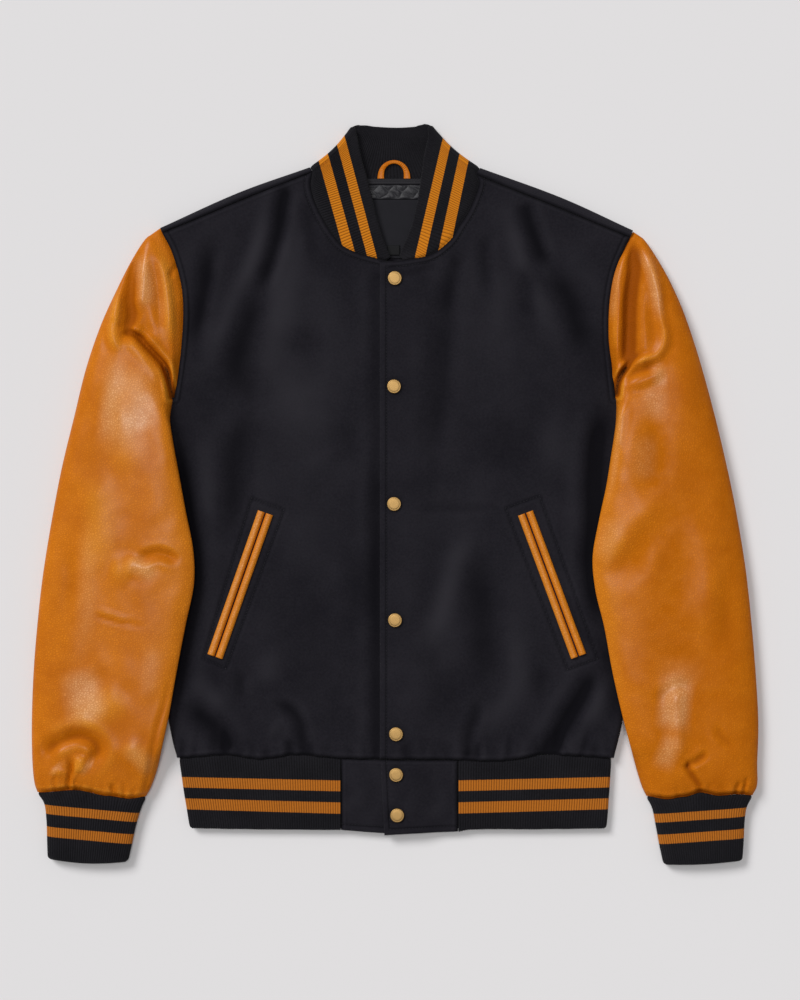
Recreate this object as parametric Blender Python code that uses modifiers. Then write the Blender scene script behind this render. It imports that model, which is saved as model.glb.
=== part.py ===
"""A varsity jacket laid flat on its back: wool body, leather sleeves, rib knit collar, cuffs and band.

Sizes are in millimetres. x runs from the wearer's right to the left, y is measured up from the ends of
the cuffs, and z up from the surface that the jacket lies on. place() turns them into Blender's metres,
with the origin at the middle of the jacket's outline, on that surface.
"""

from math import cos, exp, pi, radians, sin, sqrt

import bmesh
import bpy
from mathutils import Vector
from mathutils.bvhtree import BVHTree

MM = 0.001
LEVEL_ANGLE = 0.3       # faces that turn by less than these degrees are merged into one

# Driving sizes
LENGTH = 783.4          # from the cuffs' ends to the collar's top edge
GAP = 0.3               # between two pieces at a seam
SEAM_OFFSET = 1.2 * GAP     # where ribs cut the corners of a faceted seam
WOOL = 2.6              # melton with its lining
LEATHER = 1.6
KNIT = 3.0              # rib knit, folded double
LAID = 11.5             # height of the closed body, laid flat
BAND_LAID = 9.8         # height of the waistband
COLLAR_LAID = 10.4      # height of the collar's upper layer at its free edge
RIB_PITCH = 2.7
RIB_RAISED = 0.7
OVERLAP_X = 15.2        # edge of the right front, under the left one
LAP_RAMP = 30.0         # width over which the left front comes down beside the lap
LAP_START = 3.0         # from the right front's edge to where that begins
LAP_CLEAR = 0.2         # more than the gap between the two fronts
FOLD_SWELL = 0.45       # share by which a fold is deeper in its middle than at its ends

# Colours of the materials (linear RGB), roughness, metallic value
FINISHES = {
    "wool": ((0.012, 0.012, 0.016), 0.95, 0.0),
    "leather": ((0.47, 0.15, 0.02), 0.5, 0.0),
    "knit": ((0.010, 0.010, 0.014), 0.9, 0.0),
    "satin": ((0.020, 0.019, 0.026), 0.35, 0.0),
    "tape": ((0.035, 0.032, 0.040), 0.7, 0.0),
    "brass": ((0.60, 0.38, 0.12), 0.3, 1.0),
}

# Outlines of the body, from the wearer's right (minus x) and left. Each row is (x, y).
SHOULDER = {
    "right": [(-91.2, 737.3), (-165.5, 710.8), (-249.0, 673.2)],
    "left": [(89.4, 736.7), (176.1, 704.9), (251.0, 670.6)],
}
ARMHOLE = {
    "right": [(-249.0, 672.7), (-236.3, 647.2), (-226.5, 612.3), (-224.3, 583.0), (-226.5, 546.5),
              (-230.0, 519.0), (-233.6, 495.7)],
    "left": [(251.1, 668.8), (242.1, 651.0), (231.9, 625.0), (226.2, 592.1), (225.5, 559.3),
             (228.3, 528.5), (231.9, 497.2)],
}
SIDE = {
    "right": [(-231.8, 113.0), (-238.1, 141.6), (-242.4, 173.4), (-244.5, 237.0), (-242.4, 332.4),
              (-238.1, 438.4), (-233.9, 493.5)],
    "left": [(230.9, 113.0), (239.5, 148.0), (242.1, 173.4), (244.2, 237.0), (242.1, 332.4),
             (236.8, 438.4), (231.9, 493.5)],
}
NECKLINE = {
    "right": [(15.2, 637.6), (2.5, 637.7), (-9.2, 638.2), (-20.8, 640.9), (-45.2, 648.3),
              (-60.1, 657.8), (-80.2, 688.6), (-89.7, 715.1), (-91.0, 731.5)],
    "left": [(-16.6, 637.6), (2.5, 637.9), (18.9, 640.3), (33.2, 643.0), (44.9, 648.8), (59.1, 661.5),
             (67.2, 674.8), (76.2, 688.6), (83.6, 705.0), (88.1, 720.4), (89.2, 728.5)],
}
HEM = {
    "right": [(15.2, 111.7), (-17.0, 111.7), (-57.9, 112.7), (-108.3, 116.2), (-142.1, 111.9),
              (-179.3, 116.2), (-231.8, 113.6)],
    "left": [(-16.6, 111.7), (64.0, 111.0), (111.7, 110.0), (158.3, 116.2), (230.9, 112.4)],
}
BACK_NECK = [(-91.2, 737.3), (-69.6, 727.8), (-26.1, 722.5), (1.4, 722.0), (26.9, 722.5),
             (62.9, 726.7), (89.4, 736.7)]
BACK_HEM = [(-231.8, 113.6), (-110.0, 112.0), (110.0, 112.0), (230.9, 112.4)]
# How far the shoulder seam lies forward of the fold: at the ends, and more in the middle
SHOULDER_SEAM = {"right": (6.0, 2.8), "left": (8.3, 3.0)}

# The fold leans over at the neck to meet the collar's: by how much, and along which share of it
NECK_LEAN, NECK_SHARE = 0.17, 0.125

# Folds of the wool. Rows: path, depth (minus for a ridge), half width.
BODY_FOLDS = [
    ([(-113.4, 712.0), (-125.1, 663.6), (-145.5, 609.5), (-162.3, 562.4), (-175.9, 511.6)], 4.5, 11),
    ([(-192.8, 668.0), (-199.5, 622.9), (-206.0, 575.0)], 3.5, 10),
    ([(-90.8, 652.0), (-90.8, 565.6)], 2.0, 14),
    ([(-170.3, 449.0), (-172.0, 400.0)], 2.5, 13),
    ([(-91.8, 551.8), (-132.1, 517.9)], 2.0, 12),
    ([(-214.0, 186.0), (-190.0, 142.0)], 3.2, 11),
    ([(-125.1, 168.1), (-104.9, 155.4), (-98.2, 140.0)], 3.0, 11),
    ([(140.3, 692.0), (158.7, 636.6), (182.4, 589.3), (196.0, 560.0)], 4.2, 11),
    ([(70.0, 640.0), (57.0, 596.4)], 2.6, 12),
    ([(128.0, 645.0), (138.0, 600.0)], 2.0, 11),
    ([(202.0, 482.0), (204.0, 420.0)], 2.5, 12),
    ([(84.0, 351.0), (62.0, 262.0)], -1.6, 14),
    ([(100.0, 320.8), (90.0, 205.2)], 2.6, 12),
    ([(91.1, 168.1), (80.0, 138.0)], 3.0, 11),
    ([(200.0, 190.0), (179.1, 158.6), (160.0, 134.0)], 4.4, 12),
]

# Sleeves. Rows: outer end x, y; inner end x, y; crown height; height of the ends; flatness; bow share.
SLEEVE = {
    "right": [
        (-249.3, 672.7, -234.1, 494.3, 11.5, 5.75, 16.0, 1.00),
        (-258.0, 667.5, -234.9, 490.5, 14.0, 6.5, 12.0, 0.90),
        (-266.5, 660.5, -236.0, 486.5, 18.0, 7.2, 8.0, 0.76),
        (-280.5, 639.0, -237.3, 480.0, 20.0, 8.0, 6.0, 0.54),
        (-296.7, 608.0, -237.8, 470.5, 23.0, 8.8, 4.6, 0.34),
        (-313.5, 570.5, -236.0, 458.0, 26.0, 9.4, 3.8, 0.16),
        (-328.6, 524.5, -232.4, 436.8, 28.0, 9.8, 3.3, 0.05),
        (-341.1, 472.3, -227.0, 408.0, 28.5, 10.0, 3.0, 0.0),
        (-353.7, 419.3, -220.4, 372.0, 28.5, 10.0, 3.0, 0.0),
        (-364.3, 362.1, -212.9, 333.0, 28.0, 10.0, 3.0, 0.0),
        (-372.7, 305.4, -212.2, 296.5, 27.5, 10.0, 3.0, 0.0),
        (-378.6, 252.9, -220.9, 254.0, 27.0, 9.6, 3.0, 0.0),
        (-382.6, 203.1, -230.7, 203.1, 26.0, 9.2, 3.0, 0.0),
        (-384.5, 151.2, -239.5, 154.0, 25.0, 8.8, 3.2, 0.0),
        (-384.0, 110.5, -250.0, 107.7, 23.5, 8.4, 3.8, 0.0),
        (-382.0, 88.0, -257.5, 84.5, 20.5, 8.0, 5.0, 0.0),
        (-378.8, 77.0, -263.9, 72.3, 16.5, 7.6, 8.0, 0.0),
    ],
    "left": [
        (251.4, 669.0, 232.2, 494.6, 11.5, 5.75, 16.0, 1.00),
        (258.4, 665.4, 232.6, 491.0, 14.0, 6.5, 12.0, 0.90),
        (265.0, 660.4, 232.9, 487.0, 18.0, 7.2, 8.0, 0.76),
        (277.0, 643.5, 233.0, 480.5, 20.0, 8.0, 6.0, 0.54),
        (291.5, 618.5, 232.2, 470.0, 23.0, 8.8, 4.6, 0.34),
        (306.7, 584.7, 230.4, 456.0, 26.0, 9.4, 3.8, 0.16),
        (321.4, 540.5, 226.6, 432.0, 28.0, 9.8, 3.3, 0.05),
        (336.0, 487.5, 221.4, 399.5, 28.5, 10.0, 3.0, 0.0),
        (349.5, 431.0, 213.2, 361.0, 28.5, 10.0, 3.0, 0.0),
        (361.0, 374.0, 207.2, 325.0, 28.0, 10.0, 3.0, 0.0),
        (370.8, 312.0, 210.2, 290.0, 27.5, 10.0, 3.0, 0.0),
        (377.0, 253.0, 219.6, 250.8, 27.0, 9.6, 3.0, 0.0),
        (381.6, 200.0, 228.4, 203.0, 26.0, 9.2, 3.0, 0.0),
        (384.5, 150.0, 240.2, 152.0, 25.0, 8.8, 3.2, 0.0),
        (383.8, 108.0, 253.0, 106.0, 23.5, 8.4, 3.8, 0.0),
        (382.2, 85.0, 260.0, 83.5, 20.5, 8.0, 5.0, 0.0),
        (377.4, 73.6, 265.0, 72.8, 16.5, 7.6, 8.0, 0.0),
    ],
}
SLEEVE_RINGS = 23
SLEEVE_COLUMNS = 12     # over the top
SLEEVE_TURN = 2         # of the top sleeve where it turns under, at each side
SLEEVE_BELOW = 8        # along the undersleeve
SLEEVE_SEAM = radians(31)   # how far round from the sides the top sleeve meets the undersleeve
SEAM_TURN = radians(0.8)    # the gap at that seam, as a turn
UNDERSIDE_FLATNESS = 14.0
LAP_SAG = 0.7           # share of what lies under a sleeve that its crown doesn't rise with
# Where a sleeve rises from the surface onto the side of the body
BESIDE_BODY, BESIDE_RAMP = 34.0, 27.0       # outside the body's side: where it starts, and how wide it is
ARMPIT_Y, ARMPIT_RAMP = 492.0, 34.0
HEM_Y, HEM_RAMP, HEM_REACH = 95.0, 30.0, 2.0
BODY_CLEAR = 0.8        # between the sleeve and the body's side
CROWN_LEANS = 0.3       # share of a sleeve's width where its crown starts to rise over the body
FOLD_REACH = 1.4        # how far folds run down a sleeve's sides
FOLD_LIMIT = 0.8        # the deepest fold, as a share of the crown over the sides
# Folds of the leather. Rows: path, depth (minus for a ridge), half width.
SLEEVE_FOLDS = {
    "right": [
        ([(-273.0, 640.0), (-277.0, 600.0), (-281.0, 566.0), (-291.0, 556.0)], 8.0, 9),
        ([(-265.0, 552.0), (-243.0, 525.0), (-237.0, 505.0)], 7.0, 9),
        ([(-268.0, 331.0), (-232.0, 322.0)], 5.0, 10),
        ([(-356.0, 137.0), (-368.0, 118.0), (-350.0, 103.0), (-312.0, 108.0)], 4.0, 9),
    ],
    "left": [
        ([(256.0, 640.0), (257.0, 597.0), (248.0, 545.0)], 8.0, 9),
        ([(240.0, 520.0), (258.0, 536.0)], 6.0, 9),
        ([(222.0, 316.0), (276.0, 396.0)], -3.5, 16),
        ([(308.0, 112.0), (318.0, 90.0)], 4.0, 8),
    ],
}
CUFF_NEAR = 0.9         # share of the sleeve's length where the cuff seam's waves begin
# The cuff seam's waves. Rows: share from the outer end to the inner, height along the sleeve.
CUFF_SEAM = {
    "right": [(0.0, 0.0), (0.37, 4.2), (0.65, -0.5), (0.85, -2.6), (1.0, 0.0)],
    "left": [(0.0, 0.0), (0.15, 1.6), (0.32, 0.2), (0.5, 3.8), (0.64, -0.6), (0.81, -3.0), (1.0, 0.0)],
}
# Cuffs, in the same columns.
CUFF = {
    "right": [
        (-378.5, 76.4, -264.2, 71.7, 16.2, 7.6, 8.0, 0.0),
        (-371.0, 64.9, -269.2, 61.1, 16.0, 7.6, 7.0, 0.0),
        (-368.6, 47.0, -274.6, 44.0, 15.4, 7.4, 7.0, 0.0),
        (-368.0, 27.0, -279.0, 24.0, 14.8, 7.2, 7.0, 0.0),
        (-367.4, 6.6, -283.6, 3.6, 13.6, 6.8, 7.0, 0.0),
    ],
    "left": [
        (377.1, 73.0, 265.3, 72.2, 16.2, 7.6, 8.0, 0.0),
        (370.6, 61.0, 271.6, 60.4, 16.0, 7.6, 7.0, 0.0),
        (368.4, 46.0, 275.0, 45.0, 15.4, 7.4, 7.0, 0.0),
        (367.4, 25.0, 279.2, 22.0, 14.8, 7.2, 7.0, 0.0),
        (366.1, 4.6, 283.9, 0.4, 13.6, 6.8, 7.0, 0.0),
    ],
}
CUFF_BELLY = {"right": 3.4, "left": 1.6}    # how far the cuff's end bows down in its middle
CUFF_WAVED, CUFF_BELLIED = 0.25, 0.5        # shares of its length where the waves end and the bow begins
CUFF_RIBS = 36
CUFF_RINGS = 3
CUFF_BELOW = 8

# Waistband: its lower edge, and the folds at the sides from the hem seam down. Rows: x, y.
BAND_LOWER = {
    "right": [(-57.9, 37.0), (-109.0, 37.4), (-154.4, 37.7), (-218.4, 38.8)],
    "left": [(66.1, 35.2), (78.8, 37.4), (150.0, 37.7), (223.5, 38.6)],
}
BAND_FOLD = {
    "right": [(-231.8, 112.6), (-227.1, 93.9), (-222.8, 65.7), (-218.4, 38.8)],
    "left": [(230.9, 111.8), (227.5, 92.9), (225.2, 71.1), (223.5, 38.6)],
}
BAND_BACK_LOWER = [(-218.4, 38.8), (-80.0, 37.6), (80.0, 37.6), (223.5, 38.6)]
BAND_ROWS = 2
BAND_DROP = 0.9         # by which its upper layer is lower at its seam
BAND_CROWN = 0.15       # how far the lower edge is up that curve already

# Tabs: corners at the opening and at the band, from the seam down. Rows: x, y of the seam, x, y below.
TAB = {
    "right": [(15.2, 111.4, 15.2, 33.0), (-17.0, 111.4, -16.6, 33.5), (-57.6, 112.4, -57.6, 36.7)],
    "left": [(-15.9, 111.4, -11.8, 31.4), (20.0, 111.1, 22.0, 33.2), (65.8, 110.7, 65.8, 35.0)],
}

TAB_COLUMNS, TAB_ROWS = 8, 2

# Collar's free edge, from the fold down to the front end, and where that end meets the neck seam
COLLAR_FREE = {
    "right": [(-46.3, 781.3), (-40.4, 768.0), (-36.6, 748.5), (-31.4, 729.9), (-26.1, 709.8),
              (-20.3, 684.3), (-14.5, 665.3), (-8.1, 648.3), (-5.2, 642.0)],
    "left": [(37.5, 782.7), (34.3, 768.0), (30.6, 752.3), (27.9, 733.1), (24.9, 711.0), (18.9, 682.2),
             (13.1, 665.3), (6.7, 650.4), (4.1, 643.6)],
}
COLLAR_END = {"right": 25.6, "left": 25.5}      # from the front's edge, along the neckline
COLLAR_BACK_TOP = [(-46.3, 781.3), (-38.0, 783.2), (-21.9, 781.0), (1.4, 779.9), (20.5, 781.0),
                   (30.0, 783.2), (37.5, 782.7)]
COLLAR_RIBS = 50        # on each front part
COLLAR_ROWS = 2
FOLD_STEPS = 6

# Slanted pockets: ends of the slit, width of one welt, height of its crown
POCKET = {
    "right": ((-137.4, 372.0), (-190.8, 220.0)),
    "left": ((137.0, 371.6), (193.2, 220.4)),
}
WELT_WIDTH = 8.4
WELT_RISE = 1.9
WELT_GAP = 0.5          # between the two welts, which is the pocket's slit
WELT_LIFT = 0.4         # over the wool
WELT_EDGE = 0.7         # height of a welt's edges
WELT_FLAT = 0.08        # how far its edges are up the crown's curve
WELT_CELLS = (3, 9)     # across and along

# Snaps: centres, cap radius and the cap's turned profile (radius share, height)
SNAPS = [(-0.9, 619.4), (-1.7, 505.2), (-1.7, 381.2), (-0.7, 258.6), (0.4, 138.4), (0.5, 95.3),
         (1.6, 52.6)]
SNAP_RADIUS = 7.5
SNAP_PROFILE = [(0.0, 0.0), (1.0, 0.0), (1.0, 0.9), (0.86, 2.2), (0.62, 1.9), (0.0, 2.5)]
SNAP_STEPS = 16

# Inside of the back neck: x and y ranges of the pieces that show
NECK_TAPE = (-31.0, 30.0, 719.8, 725.4)
NECK_LINING = (-30.0, 29.0, 703.6, 719.2)
NECK_FACING = (-34.0, 31.0, 641.0, 703.3)
NECK_LABEL = (-8.8, 4.4, 644.4, 655.0)
TRIM = 1.0              # wall of the tape, lining and facing
QUILT_PITCH = 16.0
QUILT_RAISED = 1.1
QUILT_ROUND = 0.6       # how full the puffs are: less is fuller
QUILT_EDGE = 1 / 6      # share of its sides over which the quilting flattens
QUILT_CELLS = (15, 4)
LOOP_FEET = 13.9        # half the distance between the hanger loop's feet, at the strip's middle
LOOP_RISE = 17.5
LOOP_STRIP = (7.0, 4.4)     # width at the feet and at the top
LOOP_X = -1.8
LOOP_ROUND = 0.8        # how full its arch is: less is squarer
LOOP_LIFT = 1.2         # by which its top stands off the collar
LOOP_CELLS = (2, 14)    # across and along the strip


def place(x, y, z):
    """A point in metres, from millimetres in the jacket's own measures."""
    return Vector((x, y - LENGTH / 2, z)) * MM


def spline(rows, share):
    """The point at a share of the length of a smooth curve through the rows' x and y."""
    knots = [0.0]
    for here, there in zip(rows, rows[1:]):
        knots.append(knots[-1] + sqrt((there[0] - here[0]) ** 2 + (there[1] - here[1]) ** 2))
    return hermite(rows, [knot / knots[-1] for knot in knots], share)


def table(rows, share):
    """A row at a share of a table, read smoothly between its evenly counted rows."""
    return hermite(rows, [row / (len(rows) - 1) for row in range(len(rows))], share)


def hermite(rows, knots, share):
    """Reads rows smoothly at a share, where knots say the share of each row."""
    last = len(rows) - 1
    span = max(i for i in range(last) if knots[i] <= share or i == 0)
    before, after = max(span - 1, 0), min(span + 2, last)
    width = knots[span + 1] - knots[span]
    t = (share - knots[span]) / width
    result = []
    for column in range(len(rows[0])):
        start, end = rows[span][column], rows[span + 1][column]
        leave = (end - rows[before][column]) / (knots[span + 1] - knots[before]) * width
        arrive = (rows[after][column] - start) / (knots[after] - knots[span]) * width
        result.append((2 * t ** 3 - 3 * t ** 2 + 1) * start + (t ** 3 - 2 * t ** 2 + t) * leave
                      + (3 * t ** 2 - 2 * t ** 3) * end + (t ** 3 - t ** 2) * arrive)
    return tuple(result)


def blend(first, second, share):
    """The point between two others."""
    return tuple(a + (b - a) * share for a, b in zip(first, second))


def ease(value):
    """A smooth step from 0 to 1."""
    value = min(max(value, 0.0), 1.0)
    return value * value * (3 - 2 * value)


def fold_depth(folds, x, y):
    """How far the folds near a point press the cloth down."""
    depth = 0.0
    for path, deep, half_width in folds:
        nearest, where = 1e9, 0.0
        for index, (start, end) in enumerate(zip(path, path[1:])):
            dx, dy = end[0] - start[0], end[1] - start[1]
            t = ((x - start[0]) * dx + (y - start[1]) * dy) / (dx * dx + dy * dy)
            t = min(max(t, 0.0), 1.0)
            distance = sqrt((x - start[0] - t * dx) ** 2 + (y - start[1] - t * dy) ** 2)
            if distance < nearest:
                nearest, where = distance, (index + t) / (len(path) - 1)
        swell = 1 - FOLD_SWELL + FOLD_SWELL * sin(pi * where)
        depth += deep * swell * exp(-(nearest / half_width) ** 2)
    return depth


def body_height(x, y):
    """Height of the fronts' outer face where they don't lap."""
    return LAID - fold_depth(BODY_FOLDS, x, y)


def lap_height(x, y):
    """Height of the left front's outer face, which lies on the right one and comes down beside it."""
    raised = WOOL + GAP + LAP_CLEAR
    return body_height(x, y) + raised * lapped(x)


def lapped(x):
    """1 where the left edge lies on the right one, and 0 beside it."""
    return 1 - ease((x - OVERLAP_X - LAP_START) / LAP_RAMP)


def collar_height(x, y, w, side):
    """Height of the collar's upper layer, w being 0 at the free edge and 1 at the neck seam."""
    at_seam = lap_height(x, y) if side == "left" else body_height(x, y)
    return COLLAR_LAID + (at_seam - COLLAR_LAID) * ease(w)


def lay(x, y, height, phi=180.0, out=(0.0, 0.0), depth=0.0):
    """A point of cloth laid double: phi 0 is the lower layer and 180 the upper one, and the fold between
    them goes round towards out. depth is measured from the outer face into the cloth."""
    radius = height / 2
    reach = (radius - depth) * sin(radians(phi))
    return place(x + out[0] * reach, y + out[1] * reach, radius - (radius - depth) * cos(radians(phi)))


def outward(start, end, side):
    """The unit vector across a fold line, pointing away from the cloth."""
    dx, dy = end[0] - start[0], end[1] - start[1]
    length = sqrt(dx * dx + dy * dy)
    turn = 1 if side == "left" else -1
    return (-dy / length * turn, dx / length * turn)


class Cloth:
    """An open surface of cells, each a set of arguments for lay(), thickened into one closed wall."""

    def __init__(self):
        self.cells = []
        self.quads = []
        self.raised = {}

    def grid(self, rows):
        """Adds rows of cells joined by faces, and returns their numbers."""
        numbers = []
        for row in rows:
            first = len(self.cells)
            self.cells.extend(row)
            numbers.append(list(range(first, first + len(row))))
        self.join(numbers)
        return numbers

    def join(self, rows):
        """Joins rows of cell numbers by faces."""
        for lower, upper in zip(rows, rows[1:]):
            for i in range(len(lower) - 1):
                self.quads.append((lower[i], lower[i + 1], upper[i + 1], upper[i]))

    def solid(self, name, wall, finish):
        """Makes the closed wall: an outer and an inner skin, and a rim along every open edge."""
        bm = bmesh.new()
        skins = []
        for inner in (False, True):
            skins.append([bm.verts.new(lay(depth=wall if inner else -self.raised.get(number, 0.0), **cell))
                          for number, cell in enumerate(self.cells)])
        edges = {}
        for quad in self.quads:
            bm.faces.new([skins[0][number] for number in quad])
            bm.faces.new([skins[1][number] for number in reversed(quad)])
            for start, end in zip(quad, quad[1:] + quad[:1]):
                key = (min(start, end), max(start, end))
                edges.setdefault(key, []).append((start, end))
        for uses in edges.values():
            if len(uses) == 1:
                start, end = uses[0]
                bm.faces.new([skins[0][end], skins[0][start], skins[1][start], skins[1][end]])
        plain_inside(bm, [(skins[0][number], skins[1][number]) for number in self.raised])
        return finished(name, bm, finish)


def plain_inside(bm, pairs):
    """Drops the inner skin's points behind raised ribs, which leaves that skin plain."""
    inner = {below for above, below in pairs}
    both = inner | {above for above, below in pairs}
    edges = [edge for edge in bm.edges
             if (edge.verts[0] in inner or edge.verts[1] in inner)
             and edge.verts[0] in both and edge.verts[1] in both]
    if edges:
        bmesh.ops.dissolve_edges(bm, edges=edges, use_verts=True)


def finished(name, bm, finish):
    """Turns a closed bmesh into the named object, with its faces pointing out."""
    bmesh.ops.dissolve_limit(bm, angle_limit=radians(LEVEL_ANGLE), verts=bm.verts, edges=bm.edges)
    bmesh.ops.triangulate(bm, faces=bm.faces, quad_method="SHORT_EDGE", ngon_method="BEAUTY")
    bmesh.ops.recalc_face_normals(bm, faces=bm.faces)
    mesh = bpy.data.meshes.new(name)
    bm.to_mesh(mesh)
    bm.free()
    mesh.materials.append(MATERIALS[finish])
    obj = bpy.data.objects.new(name, mesh)
    JACKET.objects.link(obj)
    return obj


def material(name, colour, roughness, metallic):
    """A plain finish for one kind of cloth or metal."""
    result = bpy.data.materials.new(name)
    result.use_nodes = True
    shader = result.node_tree.nodes["Principled BSDF"]
    shader.inputs["Base Color"].default_value = (*colour, 1.0)
    shader.inputs["Roughness"].default_value = roughness
    shader.inputs["Metallic"].default_value = metallic
    return result


def coons(bottom, top, start, end, i, j):
    """A point of the patch between four rows of points, i along bottom and top, j along start and end."""
    u, v = i / (len(bottom) - 1), j / (len(start) - 1)
    point = []
    for k in range(2):
        ruled = (1 - v) * bottom[i][k] + v * top[i][k] + (1 - u) * start[j][k] + u * end[j][k]
        flat = ((1 - u) * (1 - v) * bottom[0][k] + u * (1 - v) * bottom[-1][k]
                + (1 - u) * v * top[0][k] + u * v * top[-1][k])
        point.append(ruled - flat)
    return tuple(point)


def inset(point, out, distance):
    """A point moved against the direction out."""
    return (point[0] - out[0] * distance, point[1] - out[1] * distance)


def shoulder_line(side, share, distance):
    """A point at a distance inside the shoulder's fold, from the neck to the armhole."""
    ends = SHOULDER[side]
    return inset(spline(ends, share), shoulder_out(side, share), distance)


def shoulder_out(side, share):
    """The direction in which the shoulder's fold turns. At the neck it leans to meet the collar's."""
    out = outward(SHOULDER[side][0], SHOULDER[side][-1], "right" if side == "left" else "left")
    out = (out[0], out[1]) if out[1] > 0 else (-out[0], -out[1])
    lean = NECK_LEAN * (1 - ease(share / NECK_SHARE)) * (-1 if side == "right" else 1)
    length = sqrt((out[0] + lean) ** 2 + out[1] ** 2)
    return ((out[0] + lean) / length, out[1] / length)


def side_line(side, share, distance):
    """A point at a distance inside the body's side, from the hem to the underarm."""
    x, y = spline(SIDE[side], share)
    return (x + distance * (1 if side == "right" else -1), y)


SHOULDER_STRETCHES = 5
STRETCH_COLUMNS = 3         # columns of a front to each stretch of the shoulder
PANEL_ROWS = (14, 8)        # along the opening and the side, along the neckline and the armhole
BACK_ROWS = (6, 8)
NECK_COLUMNS = 10
ROLL_STEPS = 3
SEAM_ANGLE = 88.5           # the side seam, just short of the middle of the fold


def points_of(rows, count):
    """Evenly spaced points of a smooth curve: the corners that two neighbours share."""
    return [spline(rows, i / count) for i in range(count + 1)]


def between(points, count):
    """Divides each straight stretch between points into a count of equal ones."""
    result = [blend(start, end, i / count) for start, end in zip(points, points[1:]) for i in range(count)]
    return result + [points[-1]]


def shoulder_seam(side, shift):
    """The forward shoulder seam from neck to armhole, with a shift towards the front."""
    forward, more = SHOULDER_SEAM[side]
    return [shoulder_line(side, t / 6, forward + more * sin(pi * t / 6) + shift) for t in range(7)]


def neckline_points(side):
    """The front's neckline from the opening to the shoulder seam."""
    return points_of(NECKLINE[side][:-1] + [shoulder_seam(side, GAP / 2)[0]], PANEL_ROWS[1])


def hem_points(side):
    """The front's hem seam from the opening to the side."""
    return points_of(HEM[side][:-1] + [side_line(side, 0.0, LAID / 2)],
                     SHOULDER_STRETCHES * STRETCH_COLUMNS)


def armhole_points(side):
    """The body's armhole from the underarm to the shoulder."""
    rows = [side_line(side, 1.0, LAID / 2)] + list(reversed(ARMHOLE[side]))[1:-1]
    return points_of(rows + [shoulder_seam(side, GAP / 2)[-1]], PANEL_ROWS[1])


def back_neck_points():
    """The back's neckline from one shoulder to the other."""
    ends = [shoulder_line(side, 0.0, LAID / 2) for side in ("right", "left")]
    return points_of([ends[0]] + BACK_NECK[1:-1] + [ends[1]], NECK_COLUMNS)


def stretches(points):
    """The lengths of the straight stretches of a path."""
    return [sqrt((b[0] - a[0]) ** 2 + (b[1] - a[1]) ** 2) for a, b in zip(points, points[1:])]


def straight(points, share):
    """The point at a share of a path of straight stretches."""
    lengths = stretches(points)
    left = share * sum(lengths)
    for length, start, end in zip(lengths, points, points[1:]):
        if left <= length:
            return blend(start, end, left / length)
        left -= length
    return points[-1]


def beside(points, spot, towards, distance):
    """The point of a path of straight stretches nearest to a spot, moved off it towards another."""
    best = None
    for start, end in zip(points, points[1:]):
        dx, dy = end[0] - start[0], end[1] - start[1]
        length = sqrt(dx * dx + dy * dy)
        t = ((spot[0] - start[0]) * dx + (spot[1] - start[1]) * dy) / length ** 2
        foot = blend(start, end, min(max(t, 0.0), 1.0))
        away = (foot[0] - spot[0]) ** 2 + (foot[1] - spot[1]) ** 2
        if best is None or away < best[0]:
            normal = (-dy / length, dx / length)
            if (towards[0] - foot[0]) * normal[0] + (towards[1] - foot[1]) * normal[1] < 0:
                normal = (-normal[0], -normal[1])
            best = (away, (foot[0] + normal[0] * distance, foot[1] + normal[1] * distance))
    return best[1]


def front(side):
    """One front: a patch from the centre to the side, and the turn of the side down to its seam."""
    height = lap_height if side == "left" else body_height
    out = (1.0, 0.0) if side == "left" else (-1.0, 0.0)
    hem, neckline, armhole = hem_points(side), neckline_points(side), armhole_points(side)
    flank = [side_line(side, t / PANEL_ROWS[0], LAID / 2) for t in range(PANEL_ROWS[0] + 1)]
    seam = between(points_of(shoulder_seam(side, GAP / 2), SHOULDER_STRETCHES), STRETCH_COLUMNS)
    opening = between([hem[0], neckline[0]], PANEL_ROWS[0])
    start, edge = opening + neckline[1:], flank + armhole[1:]
    columns, rows = len(seam) - 1, len(start) - 1
    shift = GAP / 2 * out[0]

    def cell(i, j):
        x, y = coons(hem, seam, start, edge, i, j)
        if i == columns and j > PANEL_ROWS[0]:
            x -= shift
        return {"x": x, "y": y, "height": height(x, y)}

    cloth = Cloth()
    patch = cloth.grid([[cell(i, j) for i in range(columns + 1)] for j in range(rows + 1)])
    roll = []
    for j in range(PANEL_ROWS[0] + 1):
        edge = cloth.cells[patch[j][-1]]
        angles = [180 - SEAM_ANGLE * step / ROLL_STEPS for step in range(1, ROLL_STEPS + 1)]
        roll.append([{**edge, "phi": angle, "out": out} for angle in angles])
    numbers = cloth.grid(roll)
    cloth.join([[patch[j][-1], numbers[j][0]] for j in range(PANEL_ROWS[0] + 1)])
    return cloth.solid("front_" + side, WOOL, "wool")


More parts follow.
